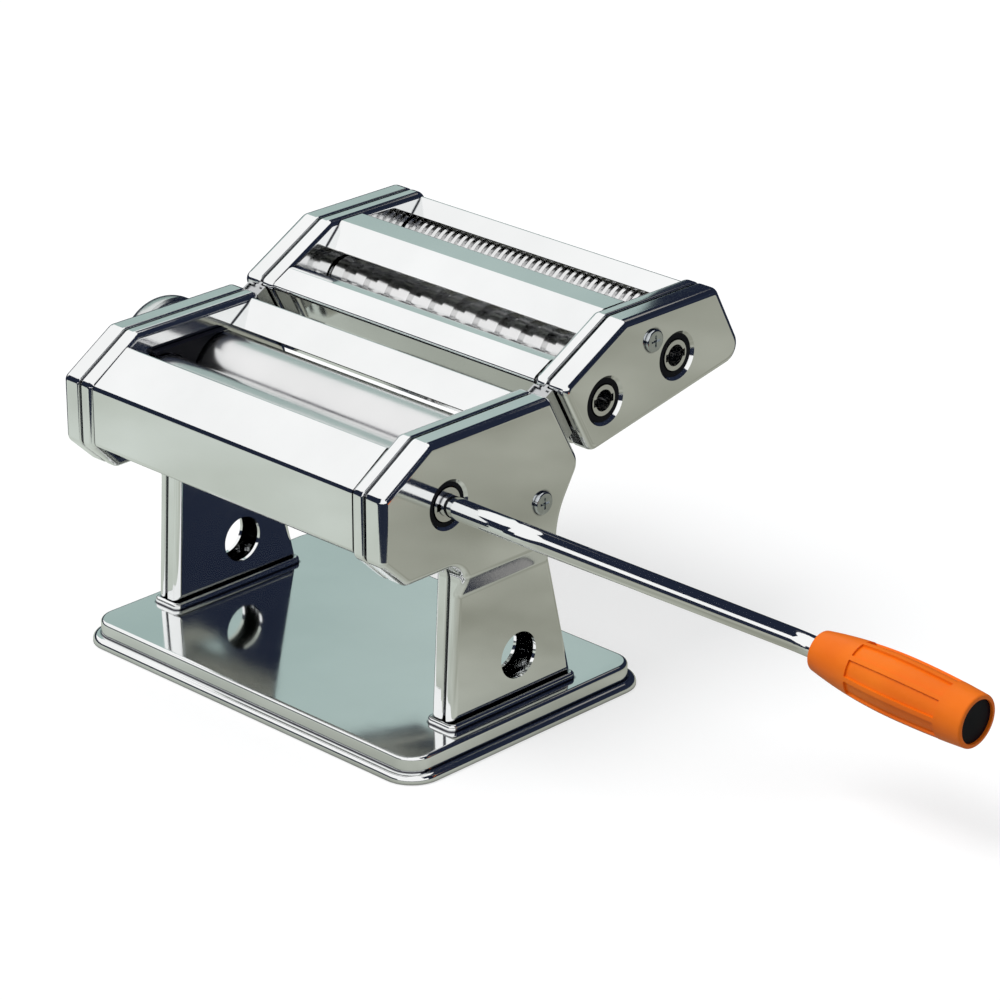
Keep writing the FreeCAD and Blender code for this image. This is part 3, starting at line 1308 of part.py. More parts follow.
def front_guard():
    """Front wall of the wide hopper: an apron on the rail side, a brow and a ledge."""
    line = RAIL_GAP + COVER_INSET
    ledge_z = brow_z(LEDGE_FRONT_Y) - COVER_INSET
    path = [
        (rail_y(APRON_FOOT_Z, line), APRON_FOOT_Z, 0),
        (rail_y(CUTTER_BROW_Z, line), CUTTER_BROW_Z, FACE_BEND),
        (LEDGE_FRONT_Y, ledge_z, FLANGE_BEND),
        (LEDGE_REAR_Y, ledge_z, FLANGE_BEND),
        (LEDGE_LIP_Y, LEDGE_LIP_Z, 0),
    ]
    return folded_sheet(path, SHEET, -INNER_X, INNER_X)


def ridge_guard():
    """Roof between the two cutter hoppers."""
    top = CUTTER_TOP_Z - RIDGE_SINK
    path = [
        (RIDGE_FRONT_Y, RIDGE_FOOT_Z, 0),
        (RIDGE_TOP_FRONT_Y, top, FLANGE_BEND),
        (RIDGE_TOP_REAR_Y, top, FLANGE_BEND),
        (RIDGE_REAR_Y, RIDGE_FOOT_Z, 0),
    ]
    return folded_sheet(path, SHEET, -INNER_X, INNER_X)


def rear_guard():
    """Back wall of the narrow hopper and the rear face of the cutter head."""
    top = CUTTER_TOP_Z - COVER_INSET
    rear_line = CUTTER_REAR_Y - COVER_INSET / math.cos(LEAN)
    path = [
        (REAR_GUARD_FOOT_Y, REAR_GUARD_FOOT_Z, 0),
        (rear_line, top, RIM_BEND),
        (rear_line + math.tan(LEAN) * (top - REAR_APRON_Z), REAR_APRON_Z, 0),
    ]
    return folded_sheet(path, SHEET, -INNER_X, INNER_X)


def build_nodes():
    """Every piece of the machine by name."""
    narrow = NARROW_OFFSET
    mate = PAIR_DISTANCE
    return {
        "base_plate": base_plate(),
        "base_screws": base_screws(),
        "left_inner_frame": inner_frame(-1),
        "right_inner_frame": inner_frame(1),
        "left_outer_cover": frame_cover(-1),
        "right_outer_cover": frame_cover(1),
        "cover_screws": pair(screw_x(REAR_ROD_Y, REAR_ROD_Z, HEAD_X)),
        "front_tie_rod": tie_rod(FRONT_ROD_Y, FRONT_ROD_Z, INNER_X + WALL),
        "rear_tie_rod": rear_tie_rod(),
        "front_cover": front_cover(),
        "rear_cover": rear_cover(),
        "front_scraper": scraper(FRONT_AXIS_Y, -1),
        "rear_scraper": scraper(REAR_AXIS_Y, 1),
        "left_side_guide": side_guide(-1),
        "right_side_guide": side_guide(1),
        "left_rail_channel": rail_channel(-1),
        "right_rail_channel": rail_channel(1),
        "roller_bushes": roller_bushes(),
        "crank_collar": socket_collar(FRONT_AXIS_Y, AXIS_Z, JOURNAL_RADIUS),
        "dial_ring": dial_ring(),
        "front_roller": front_roller(),
        "drive_gear": roller_gear(FRONT_AXIS_Y, JOURNAL_RADIUS),
        "rear_roller": rear_roller(),
        "driven_gear": roller_gear(REAR_AXIS_Y, HUB_RADIUS),
        "rear_roller_sleeves": rear_roller_sleeves(),
        "setting_shaft": setting_shaft(),
        "shaft_clip": shaft_clip(),
        "adjuster_knob": adjuster_knob(),
        "locating_pin": locating_pin(),
        "knob_spring": knob_spring(),
        "knob_screw": knob_screw(),
        "crank_rod": crank_rod(),
        "crank_cross_pin": cross_pin(),
        "crank_grip": crank_grip(),
        "grip_end_cap": grip_end_cap(),
        "left_cutter_frame": cutter_frame(-1),
        "right_cutter_frame": cutter_frame(1),
        "left_cutter_cover": cutter_cover(-1),
        "right_cutter_cover": cutter_cover(1),
        "cutter_screws": pair(screw_x(CUTTER_ROD_Y, CUTTER_ROD_Z, HEAD_X)),
        "cutter_tie_rod": cutter_tie_rod(),
        "cutter_bushes": cutter_bushes(),
        "socket_collars": Part.makeCompound([
            socket_collar(*cutter_axis(along), SOCKET_JOURNAL) for along in (0, narrow)]),
        "left_cutter_tongue": cutter_tongue(-1),
        "right_cutter_tongue": cutter_tongue(1),
        "front_guard": front_guard(),
        "ridge_guard": ridge_guard(),
        "rear_guard": rear_guard(),
        "wide_combs": comb_pair(0, WIDE_PITCH),
        "narrow_combs": comb_pair(narrow, NARROW_PITCH),
        "wide_drive_cutter": cutter_roller(0, WIDE_PITCH, True),
        "wide_mate_cutter": cutter_roller(mate, WIDE_PITCH, False),
        "narrow_drive_cutter": cutter_roller(narrow, NARROW_PITCH, True),
        "narrow_mate_cutter": cutter_roller(narrow + mate, NARROW_PITCH, False),
        "wide_drive_gear": cutter_gear(0),
        "wide_mate_gear": cutter_gear(mate),
        "narrow_drive_gear": cutter_gear(narrow),
        "narrow_mate_gear": cutter_gear(narrow + mate),
    }


def main():
    """Write one file per piece."""
    os.makedirs("parts", exist_ok=True)
    for name, shape in build_nodes().items():
        shape.exportStep(f"parts/{name}.step")


if __name__ == "__main__":
    main()
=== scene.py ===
"""Dresses a hand-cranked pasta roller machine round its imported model.

Lengths are metres in the machine's own frame: +X towards the crank, +Y towards the
cutter head at the back, +Z up, with the origin on the table under the middle of the base.
"""
import json
import logging
import math
from dataclasses import dataclass
from enum import Enum

import bmesh
import bpy
from mathutils import Matrix, Vector


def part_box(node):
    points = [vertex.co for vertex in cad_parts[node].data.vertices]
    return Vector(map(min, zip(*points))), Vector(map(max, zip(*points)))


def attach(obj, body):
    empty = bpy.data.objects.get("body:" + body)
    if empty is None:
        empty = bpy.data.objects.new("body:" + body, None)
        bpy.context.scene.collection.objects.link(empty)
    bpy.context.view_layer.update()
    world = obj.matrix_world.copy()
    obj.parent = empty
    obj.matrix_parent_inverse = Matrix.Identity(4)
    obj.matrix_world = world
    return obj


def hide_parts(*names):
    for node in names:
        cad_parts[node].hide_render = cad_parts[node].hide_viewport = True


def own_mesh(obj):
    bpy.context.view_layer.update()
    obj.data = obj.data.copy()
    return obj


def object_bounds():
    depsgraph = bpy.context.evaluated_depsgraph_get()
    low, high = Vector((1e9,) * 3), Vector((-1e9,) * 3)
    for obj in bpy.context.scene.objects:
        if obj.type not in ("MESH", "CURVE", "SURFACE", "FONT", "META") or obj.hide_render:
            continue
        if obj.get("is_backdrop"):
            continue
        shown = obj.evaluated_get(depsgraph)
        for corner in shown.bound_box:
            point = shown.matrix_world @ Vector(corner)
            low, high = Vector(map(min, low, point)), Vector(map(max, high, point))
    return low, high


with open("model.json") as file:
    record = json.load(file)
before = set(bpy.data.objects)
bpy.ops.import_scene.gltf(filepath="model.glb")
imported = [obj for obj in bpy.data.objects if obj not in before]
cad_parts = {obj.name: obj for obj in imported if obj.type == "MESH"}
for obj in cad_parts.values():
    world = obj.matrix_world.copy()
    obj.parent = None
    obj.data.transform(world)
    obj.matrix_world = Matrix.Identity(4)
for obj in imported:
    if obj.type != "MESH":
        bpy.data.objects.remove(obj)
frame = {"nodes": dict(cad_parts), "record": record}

Pair = tuple[float, float]
Triple = tuple[float, float, float]
Materials = dict[str, bpy.types.Material]

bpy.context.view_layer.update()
LOG = logging.getLogger("pasta_machine")

LEVEL_SLACK = 0.000001            # heights that differ by less are one level
WELD_REACH = 0.000002             # corners of triangles that are nearer are one corner
SHARP_TURN = math.radians(32.0)   # edges that turn by more stay sharp
FLAT_LEAD = 100                   # larger faces lead the shading fully
RIGHT_ANGLE = 90.0                # degrees
QUARTER_TURN = math.radians(RIGHT_ANGLE)
NOISE_LOW = 0.3                   # a noise's values lie mostly between these two
NOISE_HIGH = 0.7
SEAM_SHADE_DARKEST = 0.55                  # open share at which the painted seam shade is darkest
SEAM_SHADE_NONE = 0.88                 # open share from which no seam shade is painted
SEAM_SHADE_RAYS = 8                     # rays that measure the open share
STUDIO_RADIUS = 1.6               # mirrored walls, and the table that they stand on
WHITE = (1.0, 1.0, 1.0)


class Grain(Enum):
    """How a metal surface was finished: the stretch of its fine marks along X, Y and Z."""

    POLISHED = (1.0, 1.0, 1.0)
    DRAWN_ALONG_X = (0.04, 1.0, 1.0)
    TURNED_ABOUT_X = (1.0, 0.06, 0.06)


class Sight(Enum):
    """Which rays a staged piece of the studio is there for."""

    CAMERA = "camera"
    REFLECTION = "reflection"


def opaque(colour: Triple) -> tuple[float, float, float, float]:
    """Adds a full alpha to a colour."""
    return (*colour, 1.0)


class NodeSheet:
    """A material's or world's node tree with short ways to add and join nodes."""

    def __init__(self, tree: bpy.types.NodeTree) -> None:
        """Takes a node tree and empties it."""
        self.tree = tree
        tree.nodes.clear()

    def add(self, kind: str, **values: object) -> bpy.types.Node:
        """Adds one node.

        Args:
            kind: The node's type name without the ShaderNode in front.
            values: Input sockets by name with underscores for spaces, or properties of the node.

        Returns:
            The new node.
        """
        node = self.tree.nodes.new("ShaderNode" + kind)
        for key, value in values.items():
            socket = key.replace("_", " ")
            if socket in node.inputs:
                node.inputs[socket].default_value = value
            else:
                setattr(node, key, value)
        return node

    def join(self, output: bpy.types.NodeSocket, target: bpy.types.NodeSocket) -> None:
        """Links an output to an input."""
        self.tree.links.new(output, target)

    def show(self, shader: bpy.types.NodeSocket, kind: str = "OutputMaterial") -> None:
        """Joins a shader to a new output node of the tree."""
        self.join(shader, self.add(kind).inputs["Surface"])

    def noise(self, scale: float, detail: float, grain: Grain = Grain.POLISHED) -> bpy.types.NodeSocket:
        """Adds a noise on Object coordinates.

        Args:
            scale: Waves in a metre.
            detail: Finer octaves on top.
            grain: How its waves are stretched.

        Returns:
            The noise's value.
        """
        place = self.add("TexCoord")
        mapping = self.add("Mapping", Scale=grain.value)
        self.join(place.outputs["Object"], mapping.inputs["Vector"])
        noise = self.add("TexNoise", Scale=scale, Detail=detail)
        self.join(mapping.outputs["Vector"], noise.inputs["Vector"])
        return noise.outputs["Fac"]

    def between(self, value: bpy.types.NodeSocket, low: float, high: float) -> bpy.types.NodeSocket:
        """Spreads the middle of a noise over a range.

        Args:
            value: The noise's value.
            low: What its low side gives.
            high: What its high side gives.

        Returns:
            The spread value.
        """
        spread = self.add("MapRange", From_Min=NOISE_LOW, From_Max=NOISE_HIGH, To_Min=low, To_Max=high)
        self.join(value, spread.inputs["Value"])
        return spread.outputs["Result"]

    def shades(self, value: bpy.types.NodeSocket, low: Triple, high: Triple) -> bpy.types.NodeSocket:
        """Runs a noise through two near colours.

        Args:
            value: The noise's value.
            low: Colour of its low side.
            high: Colour of its high side.

        Returns:
            The colour.
        """
        ramp = self.add("ValToRGB")
        for stop, place, colour in zip(ramp.color_ramp.elements, (NOISE_LOW, NOISE_HIGH), (low, high)):
            stop.position = place
            stop.color = opaque(colour)
        self.join(value, ramp.inputs["Fac"])
        return ramp.outputs["Color"]

    def painted_seam_shade(self, colour: bpy.types.NodeSocket, tone: Triple, reach: float) -> bpy.types.NodeSocket:
        """Paints shade into a colour in narrow seams and gaps, by how little of the surround is open.

        Args:
            colour: The unshaded colour.
            tone: Colour of the painted shade.
            reach: How near a seam's walls have to be.

        Returns:
            The colour.
        """
        openness = self.add("AmbientOcclusion", samples=SEAM_SHADE_RAYS, Distance=reach)
        unshaded = self.add("MapRange", From_Min=SEAM_SHADE_DARKEST, From_Max=SEAM_SHADE_NONE)
        self.join(openness.outputs["AO"], unshaded.inputs["Value"])
        mix = self.add("MixRGB", Color1=opaque(tone))
        self.join(unshaded.outputs["Result"], mix.inputs["Fac"])
        self.join(colour, mix.inputs["Color2"])
        return mix.outputs["Color"]

    def bump(self, height: bpy.types.NodeSocket, distance: float,
             under: bpy.types.NodeSocket | None = None) -> bpy.types.NodeSocket:
        """Turns a height into a normal.

        Args:
            height: Value from 0 to 1.
            distance: Real height of 1.
            under: A normal that this bump lies on.

        Returns:
            The normal.
        """
        bump = self.add("Bump", Strength=1.0, Distance=distance)
        self.join(height, bump.inputs["Height"])
        if under is not None:
            self.join(under, bump.inputs["Normal"])
        return bump.outputs["Normal"]


def new_material(name: str) -> tuple[bpy.types.Material, NodeSheet]:
    """Makes an empty node material.

    Args:
        name: The material's name.

    Returns:
        The material and its node sheet.
    """
    material = bpy.data.materials.new(name)
    material.use_nodes = True
    return material, NodeSheet(material.node_tree)


@dataclass(frozen=True)
class MetalFinish:
    """A bare or plated metal with smudges, slow waves in the sheet and fine marks.

    Smudges vary the colour and, finer by gloss_ratio, the roughness. A wave and a mark are heights
    of bump, a scale is waves in a metre, and a seam reach of 0 paints no shade into the seams.
    """

    slot: str
    dark: Triple
    light: Triple
    roughness: float
    smudge: float = 0.02
    smudge_scale: float = 22.0
    smudge_detail: float = 4.0
    gloss_ratio: float = 2.3
    gloss_detail: float = 3.0
    wave: float = 0.0
    wave_scale: float = 14.0
    wave_detail: float = 1.0
    mark: float = 0.0
    mark_scale: float = 900.0
    mark_detail: float = 2.0
    grain: Grain = Grain.POLISHED
    # Painted shade: seams and gaps darken towards this tone, within this reach, by ambient occlusion.
    seam: Triple = (0.020, 0.025, 0.045)
    seam_shade_reach: float = 0.0

    def material(self) -> bpy.types.Material:
        """Builds the node material.

        Returns:
            The material.
        """
        material, sheet = new_material(self.slot)
        surface = sheet.add("BsdfPrincipled", Metallic=1.0)
        colour = sheet.shades(sheet.noise(self.smudge_scale, self.smudge_detail), self.dark, self.light)
        # Painted shade in seams and gaps, where ambient occlusion finds the surround closed.
        if self.seam_shade_reach:
            colour = sheet.painted_seam_shade(colour, self.seam, self.seam_shade_reach)
        sheet.join(colour, surface.inputs["Base Color"])
        gloss = sheet.noise(self.smudge_scale * self.gloss_ratio, self.gloss_detail)
        gloss = sheet.between(gloss, self.roughness - self.smudge, self.roughness + self.smudge)
        sheet.join(gloss, surface.inputs["Roughness"])
        normal = None
        if self.wave:
            normal = sheet.bump(sheet.noise(self.wave_scale, self.wave_detail), self.wave)
        if self.mark:
            marks = sheet.noise(self.mark_scale, self.mark_detail, self.grain)
            normal = sheet.bump(marks, self.mark, normal)
        if normal is not None:
            sheet.join(normal, surface.inputs["Normal"])
        sheet.show(surface.outputs["BSDF"])
        return material


@dataclass(frozen=True)
class PlasticFinish:
    """A moulded plastic with a slight cloud in its colour and a fine moulded grain.

    The cloud varies the colour and, finer by gloss_ratio, the roughness by spread to either side.
    """

    slot: str
    dark: Triple
    light: Triple
    roughness: float
    shine: float
    spread: float = 0.05
    cloud_scale: float = 45.0
    cloud_detail: float = 3.0
    gloss_ratio: float = 3.0
    gloss_detail: float = 2.0
    grain: float = 0.000006
    grain_scale: float = 2200.0
    grain_detail: float = 1.0

    def material(self) -> bpy.types.Material:
        """Builds the node material.

        Returns:
            The material.
        """
        material, sheet = new_material(self.slot)
        surface = sheet.add("BsdfPrincipled", Specular_IOR_Level=self.shine)
        cloud = sheet.noise(self.cloud_scale, self.cloud_detail)
        sheet.join(sheet.shades(cloud, self.dark, self.light), surface.inputs["Base Color"])
        gloss = sheet.noise(self.cloud_scale * self.gloss_ratio, self.gloss_detail)
        gloss = sheet.between(gloss, self.roughness - self.spread, self.roughness + self.spread)
        sheet.join(gloss, surface.inputs["Roughness"])
        grain = sheet.noise(self.grain_scale, self.grain_detail)
        sheet.join(sheet.bump(grain, self.grain), surface.inputs["Normal"])
        sheet.show(surface.outputs["BSDF"])
        return material


FINISHES: tuple[MetalFinish | PlasticFinish, ...] = (
    # polished steel gets painted shade in its seams and gaps
    MetalFinish("polished_steel", (0.87, 0.88, 0.88), (0.93, 0.94, 0.94), roughness=0.075,
                wave=0.00004, mark=0.0000012, seam_shade_reach=0.0016),
    MetalFinish("plain_steel", (0.55, 0.56, 0.57), (0.64, 0.65, 0.66), roughness=0.24, smudge=0.05,
                mark=0.000006, grain=Grain.DRAWN_ALONG_X),
    MetalFinish("screw_steel", (0.52, 0.55, 0.57), (0.62, 0.65, 0.67), roughness=0.14, smudge=0.03,
                smudge_scale=300.0),
    MetalFinish("roller_alloy", (0.78, 0.78, 0.78), (0.84, 0.84, 0.84), roughness=0.20, smudge=0.04,
                mark=0.000004, grain=Grain.TURNED_ABOUT_X),
    MetalFinish("gear_steel", (0.42, 0.42, 0.43), (0.52, 0.52, 0.53), roughness=0.34, smudge=0.08,
                mark=0.000008, grain=Grain.DRAWN_ALONG_X),
    MetalFinish("bush_bronze", (0.55, 0.38, 0.19), (0.66, 0.48, 0.26), roughness=0.30, smudge=0.06,
                mark=0.000006, grain=Grain.TURNED_ABOUT_X),
    MetalFinish("knob_chrome", (0.62, 0.65, 0.64), (0.70, 0.73, 0.72), roughness=0.22, smudge=0.04),
    MetalFinish("dial_alloy", (0.66, 0.67, 0.67), (0.74, 0.75, 0.75), roughness=0.28, smudge=0.05,
                mark=0.000006, grain=Grain.TURNED_ABOUT_X),
    PlasticFinish("black_plastic", (0.003, 0.0035, 0.007), (0.006, 0.007, 0.012), roughness=0.42,
                  shine=0.12),
    PlasticFinish("orange_plastic", (0.84, 0.155, 0.004), (0.92, 0.195, 0.007), roughness=0.40,
                  shine=0.3),
)


def linked(name: str, mesh: bmesh.types.BMesh) -> bpy.types.Object:
    """Makes a bmesh into an object of the scene, at the origin.

    Args:
        name: The object's name.
        mesh: Its bmesh, which is freed.

    Returns:
        The object.
    """
    data = bpy.data.meshes.new(name)
    mesh.to_mesh(data)
    mesh.free()
    made = bpy.data.objects.new(name, data)
    bpy.context.scene.collection.objects.link(made)
    return made


def smooth_faces(piece: bpy.types.Object) -> None:
    """Shades a piece smooth along its roundings and flat on its flats, with its own mesh untouched.

    Args:
        piece: The piece's object.
    """
    faces = piece.data.polygons
    faces.foreach_set("use_smooth", [True] * len(faces))
    weld = piece.modifiers.new("weld", "WELD")
    weld.merge_threshold = WELD_REACH
    split = piece.modifiers.new("sharp", "EDGE_SPLIT")
    split.split_angle = SHARP_TURN
    split.use_edge_sharp = False
    weighted = piece.modifiers.new("weighted", "WEIGHTED_NORMAL")
    weighted.weight = FLAT_LEAD
    weighted.keep_sharp = False


@dataclass
class SubAssembly:
    """A group of CAD nodes that are dressed together."""

    name: str
    bodies: tuple[str, ...]

    def dress(self, materials: Materials) -> None:
        """Gives each node of these bodies the finish of its slot.

        Args:
            materials: Node materials by slot.
        """
        slots = {row["node"]: row["material_slot"] for row in frame["record"]["subparts"]}
        for body in self.bodies:
            for node in frame["record"]["behaviour"]["bodies"][body]:
                piece = frame["nodes"][node]
                piece.data.materials.clear()
                piece.data.materials.append(materials[slots[node]])
                smooth_faces(piece)
                LOG.info("%s: %s in %s", self.name, node, slots[node])


MACHINE = (
    SubAssembly("roller unit", ("machine", "drive_roller", "carriage", "driven_roller")),
    SubAssembly("thickness setting", ("adjuster", "knob")),
    SubAssembly("crank", ("crank", "grip")),
    SubAssembly("cutter head", ("cutter_head", "wide_drive", "wide_mate", "narrow_drive", "narrow_mate")),
)


def panel(place: Matrix, half: Pair) -> bmesh.types.BMesh:
    """Makes a flat rectangle.

    Args:
        place: Its middle and turn.
        half: Half its width and half its depth.

    Returns:
        Its bmesh.
    """
    mesh = bmesh.new()
    size = Matrix.Diagonal((*half, 1.0, 1.0))
    bmesh.ops.create_grid(mesh, x_segments=1, y_segments=1, size=1.0, matrix=place @ size)
    return mesh


def disc(place: Triple, radius: float, sides: int) -> bmesh.types.BMesh:
    """Makes a level disc.

    Args:
        place: Its middle.
        radius: Its radius.
        sides: Edges round it.

    Returns:
        Its bmesh.
    """
    mesh = bmesh.new()
    bmesh.ops.create_circle(mesh, cap_ends=True, segments=sides, radius=radius,
                            matrix=Matrix.Translation(place))
    return mesh


def raised(mesh: bmesh.types.BMesh, face: bmesh.types.BMFace, height: float) -> bmesh.types.BMFace:
    """Extrudes one face straight up.

    Args:
        mesh: The bmesh.
        face: The face to raise.
        height: How far.

    Returns:
        The face at the top.
    """
    made = bmesh.ops.extrude_face_region(mesh, geom=[face])["geom"]
    top = next(item for item in made if isinstance(item, bmesh.types.BMFace))
    bmesh.ops.translate(mesh, vec=(0.0, 0.0, height), verts=top.verts)
    return top


def wall_ends(mesh: bmesh.types.BMesh, height: float, above: bool) -> list[bmesh.types.BMEdge]:
    """Finds the level edges where a wall starts or ends.

    Args:
        mesh: The bmesh to search.
        height: Height of the edges.
        above: Whether the wall stands above them, or hangs below.

    Returns:
        The edges.
    """
    found = []
    for edge in mesh.edges:
        if any(abs(vert.co.z - height) > LEVEL_SLACK for vert in edge.verts):
            continue
        rises = [face.calc_center_median().z - height for face in edge.link_faces]
        reach = max(rises, default=0.0) if above else -min(rises, default=0.0)
        if reach > LEVEL_SLACK:
            found.append(edge)
    return found


def round_edges(mesh: bmesh.types.BMesh, edges: list[bmesh.types.BMEdge], radius: float,
                steps: int) -> None:
    """Rounds edges of a bmesh.

    Args:
        mesh: The bmesh.
        edges: Edges to round.
        radius: Reach of the rounding from each edge.
        steps: Faces across it.
    """
    bmesh.ops.bevel(mesh, geom=edges, offset=radius, affect="EDGES", segments=steps,
                    profile=0.5, material=-1)


@dataclass
class BasePan:
    """Pressed base pan: a rolled lip, a table with upright walls and a low pad under each leg."""

    corner: float = 0.0140
    corner_steps: int = 10
    lip_height: float = 0.0036
    lip_round: float = 0.0027
    lip_steps: int = 6
    shelf: float = 0.0036         # lip's edge to the table's wall
    top: float = 0.0102
    table_round: float = 0.0017
    table_steps: int = 5
    crease: float = 0.0007        # hollow rounding at the foot of a wall
    crease_steps: int = 3
    leg_side: float = 0.0885      # outer face of the right leg
    leg_front: float = -0.0350    # at the foot, as is the rear
    leg_rear: float = 0.0345
    pad_margin: float = 0.0014    # past the leg's faces
    pad_corner: float = 0.0030
    pad_corner_steps: int = 5
    pad_round: float = 0.0013
    pad_steps: int = 4
    sheet: float = 0.0012
    slot: str = "polished_steel"

    def build(self, materials: Materials) -> None:
        """Models the pan and puts it in the place of the plain one.

        Args:
            materials: Node materials by slot.
        """
        mesh = self.table()
        pad_top = self.pads(mesh)
        self.roundings(mesh, pad_top)
        bmesh.ops.recalc_face_normals(mesh, faces=mesh.faces)
        pan = linked("base_pan", mesh)
        pan.data.materials.append(materials[self.slot])
        wall = pan.modifiers.new("sheet", "SOLIDIFY")
        wall.thickness = self.sheet
        wall.offset = -1.0
        wall.use_even_offset = True
        smooth_faces(pan)
        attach(pan, "machine")
        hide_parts("base_plate")
        LOG.info("base: base_pan in %s", self.slot)

    def table(self) -> bmesh.types.BMesh:
        """Raises the lip and the table from the base's outline.

        Returns:
            The pan's bmesh, without its pads.
        """
        _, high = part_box("base_plate")
        mesh = panel(Matrix(), (high.x, high.y))
        bmesh.ops.bevel(mesh, geom=mesh.verts[:], offset=self.corner, affect="VERTICES",
                        segments=self.corner_steps, profile=0.5, material=-1)
        mesh.faces.ensure_lookup_table()
        outline = mesh.faces[0]
        lip = raised(mesh, outline, self.lip_height)
        bmesh.ops.delete(mesh, geom=[outline], context="FACES_ONLY")
        bmesh.ops.inset_region(mesh, faces=[lip], thickness=self.shelf, use_boundary=True,
                               use_even_offset=True)
        raised(mesh, lip, self.top - self.lip_height)
        return mesh

    def table_faces(self, mesh: bmesh.types.BMesh) -> list[bmesh.types.BMFace]:
        """Finds the faces of the table's top."""
        return [face for face in mesh.faces if abs(face.calc_center_median().z - self.top) < LEVEL_SLACK]

    def pads(self, mesh: bmesh.types.BMesh) -> float:
        """Cuts the two leg pads out of the table's top and raises them.

        Args:
            mesh: The pan's bmesh.

        Returns:
            Height of the pads' tops.
        """
        foot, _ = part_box("right_inner_frame")
        inner, outer = foot.x - self.pad_margin, self.leg_side + self.pad_margin
        front, rear = self.leg_front - self.pad_margin, self.leg_rear + self.pad_margin
        cuts = [((side * x, 0.0, 0.0), (1.0, 0.0, 0.0)) for side in (-1, 1) for x in (inner, outer)]
        cuts += [((0.0, y, 0.0), (0.0, 1.0, 0.0)) for y in (front, rear)]
        for point, normal in cuts:
            tops = self.table_faces(mesh)
            edges = {edge for face in tops for edge in face.edges}
            verts = {vert for face in tops for vert in face.verts}
            bmesh.ops.bisect_plane(mesh, geom=[*verts, *edges, *tops], dist=LEVEL_SLACK, plane_co=point,
                                   plane_no=normal)
        for face in self.table_faces(mesh):
            middle = face.calc_center_median()
            if inner < abs(middle.x) < outer and front < middle.y < rear:
                raised(mesh, face, foot.z - self.top)
        return foot.z

    def roundings(self, mesh: bmesh.types.BMesh, pad_top: float) -> None:
        """Rounds the pads, the table and the lip.

        Args:
            mesh: The pan's bmesh.
            pad_top: Height of the pads' tops.
        """
        rise = pad_top - self.top
        corners = [edge for edge in mesh.edges
                   if abs(abs(edge.verts[0].co.z - edge.verts[1].co.z) - rise) < LEVEL_SLACK
                   and max(vert.co.z for vert in edge.verts) > pad_top - LEVEL_SLACK]
        round_edges(mesh, corners, self.pad_corner, self.pad_corner_steps)
        for height, above, radius, steps in (
            (pad_top, False, self.pad_round, self.pad_steps),
            (self.top, True, self.crease, self.crease_steps),
            (self.top, False, self.table_round, self.table_steps),
            (self.lip_height, True, self.crease, self.crease_steps),
            (self.lip_height, False, self.lip_round, self.lip_steps),
        ):
            round_edges(mesh, wall_ends(mesh, height, above), radius, steps)


@dataclass
class KnobSpring:
    """Coil spring in the knob's well, wound at one length; the real one shortens against the screw's head
    as the knob is pulled.
    """

    wire: float = 0.0006   # radius
    wire_sides: int = 12
    turns: int = 4
    turn_steps: int = 28
    node: str = "knob_spring"
    joint: str = "knob_pull"
    slot: str = "plain_steel"

    def build(self, materials: Materials) -> None:
        """Winds the spring and puts it in the place of the stiff one.

        Args:
            materials: Node materials by slot.
        """
        low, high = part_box(self.node)
        coil = linked("knob_coil", self.wound(low, high))
        coil.data.materials.append(materials[self.slot])
        smooth_faces(coil)
        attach(coil, "adjuster")
        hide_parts(self.node)
        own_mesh(coil)
        LOG.info("thickness setting: knob_coil in %s", self.slot)

    def wound(self, low: Vector, high: Vector) -> bmesh.types.BMesh:
        """Winds a round wire about the knob's axis.

        Args:
            low: Lowest corner of the spring's box.
            high: Highest corner of it.

        Returns:
            The spring's bmesh.
        """
        middle = (low + high) / 2
        start = Vector((high.x - self.wire, middle.y, high.z - self.wire))
        across = Matrix.Rotation(QUARTER_TURN, 4, "Y") @ Matrix.Rotation(QUARTER_TURN, 4, "X")
        steps = self.turns * self.turn_steps
        rise = (high.x - low.x - 2 * self.wire) / steps
        mesh = bmesh.new()
        bmesh.ops.create_circle(mesh, cap_ends=True, segments=self.wire_sides, radius=self.wire,
                                matrix=Matrix.Translation(start) @ across)
        bmesh.ops.spin(mesh, geom=[*mesh.verts, *mesh.edges, *mesh.faces], cent=middle,
                       axis=(1.0, 0.0, 0.0), dvec=(-rise, 0.0, 0.0), angle=2 * math.pi * self.turns,
                       steps=steps)
        bmesh.ops.holes_fill(mesh, edges=mesh.edges)
        bmesh.ops.recalc_face_normals(mesh, faces=mesh.faces)
        return mesh


@dataclass(frozen=True)
class FloorFinish:
    """A floor that is white to the camera and keeps the shadow: a plain grey with a lift."""

    name: str = "floor"
    tone: Triple = (0.42, 0.42, 0.42)
    lift: float = 0.62

    def material(self) -> bpy.types.Material:
        """Builds the node material.

        Returns:
            The material.
        """
        material, sheet = new_material(self.name)
        diffuse = sheet.add("BsdfDiffuse", Color=opaque(self.tone))
        lift = sheet.add("Emission", Color=opaque(WHITE))
        path = sheet.add("LightPath")
        share = sheet.add("Math", operation="MULTIPLY")
        share.inputs[1].default_value = self.lift
        sheet.join(path.outputs["Is Camera Ray"], share.inputs[0])
        sheet.join(share.outputs["Value"], lift.inputs["Strength"])
        both = sheet.add("AddShader")
        sheet.join(diffuse.outputs["BSDF"], both.inputs[0])
        sheet.join(lift.outputs["Emission"], both.inputs[1])
        sheet.show(both.outputs["Shader"])
        return material


@dataclass(frozen=True)
class CardGlow:
    """A mottled card that shines evenly."""

    name: str
    low: Triple
    high: Triple
    mottle_scale: float = 3.0
    mottle_detail: float = 4.0

    def material(self) -> bpy.types.Material:
        """Builds the node material.

        Returns:
            The material.
        """
        material, sheet = new_material(self.name)
        light = sheet.add("Emission", Strength=1.0)
        mottle = sheet.noise(self.mottle_scale, self.mottle_detail)
        sheet.join(sheet.shades(mottle, self.low, self.high), light.inputs["Color"])
        sheet.show(light.outputs["Emission"])
        return material


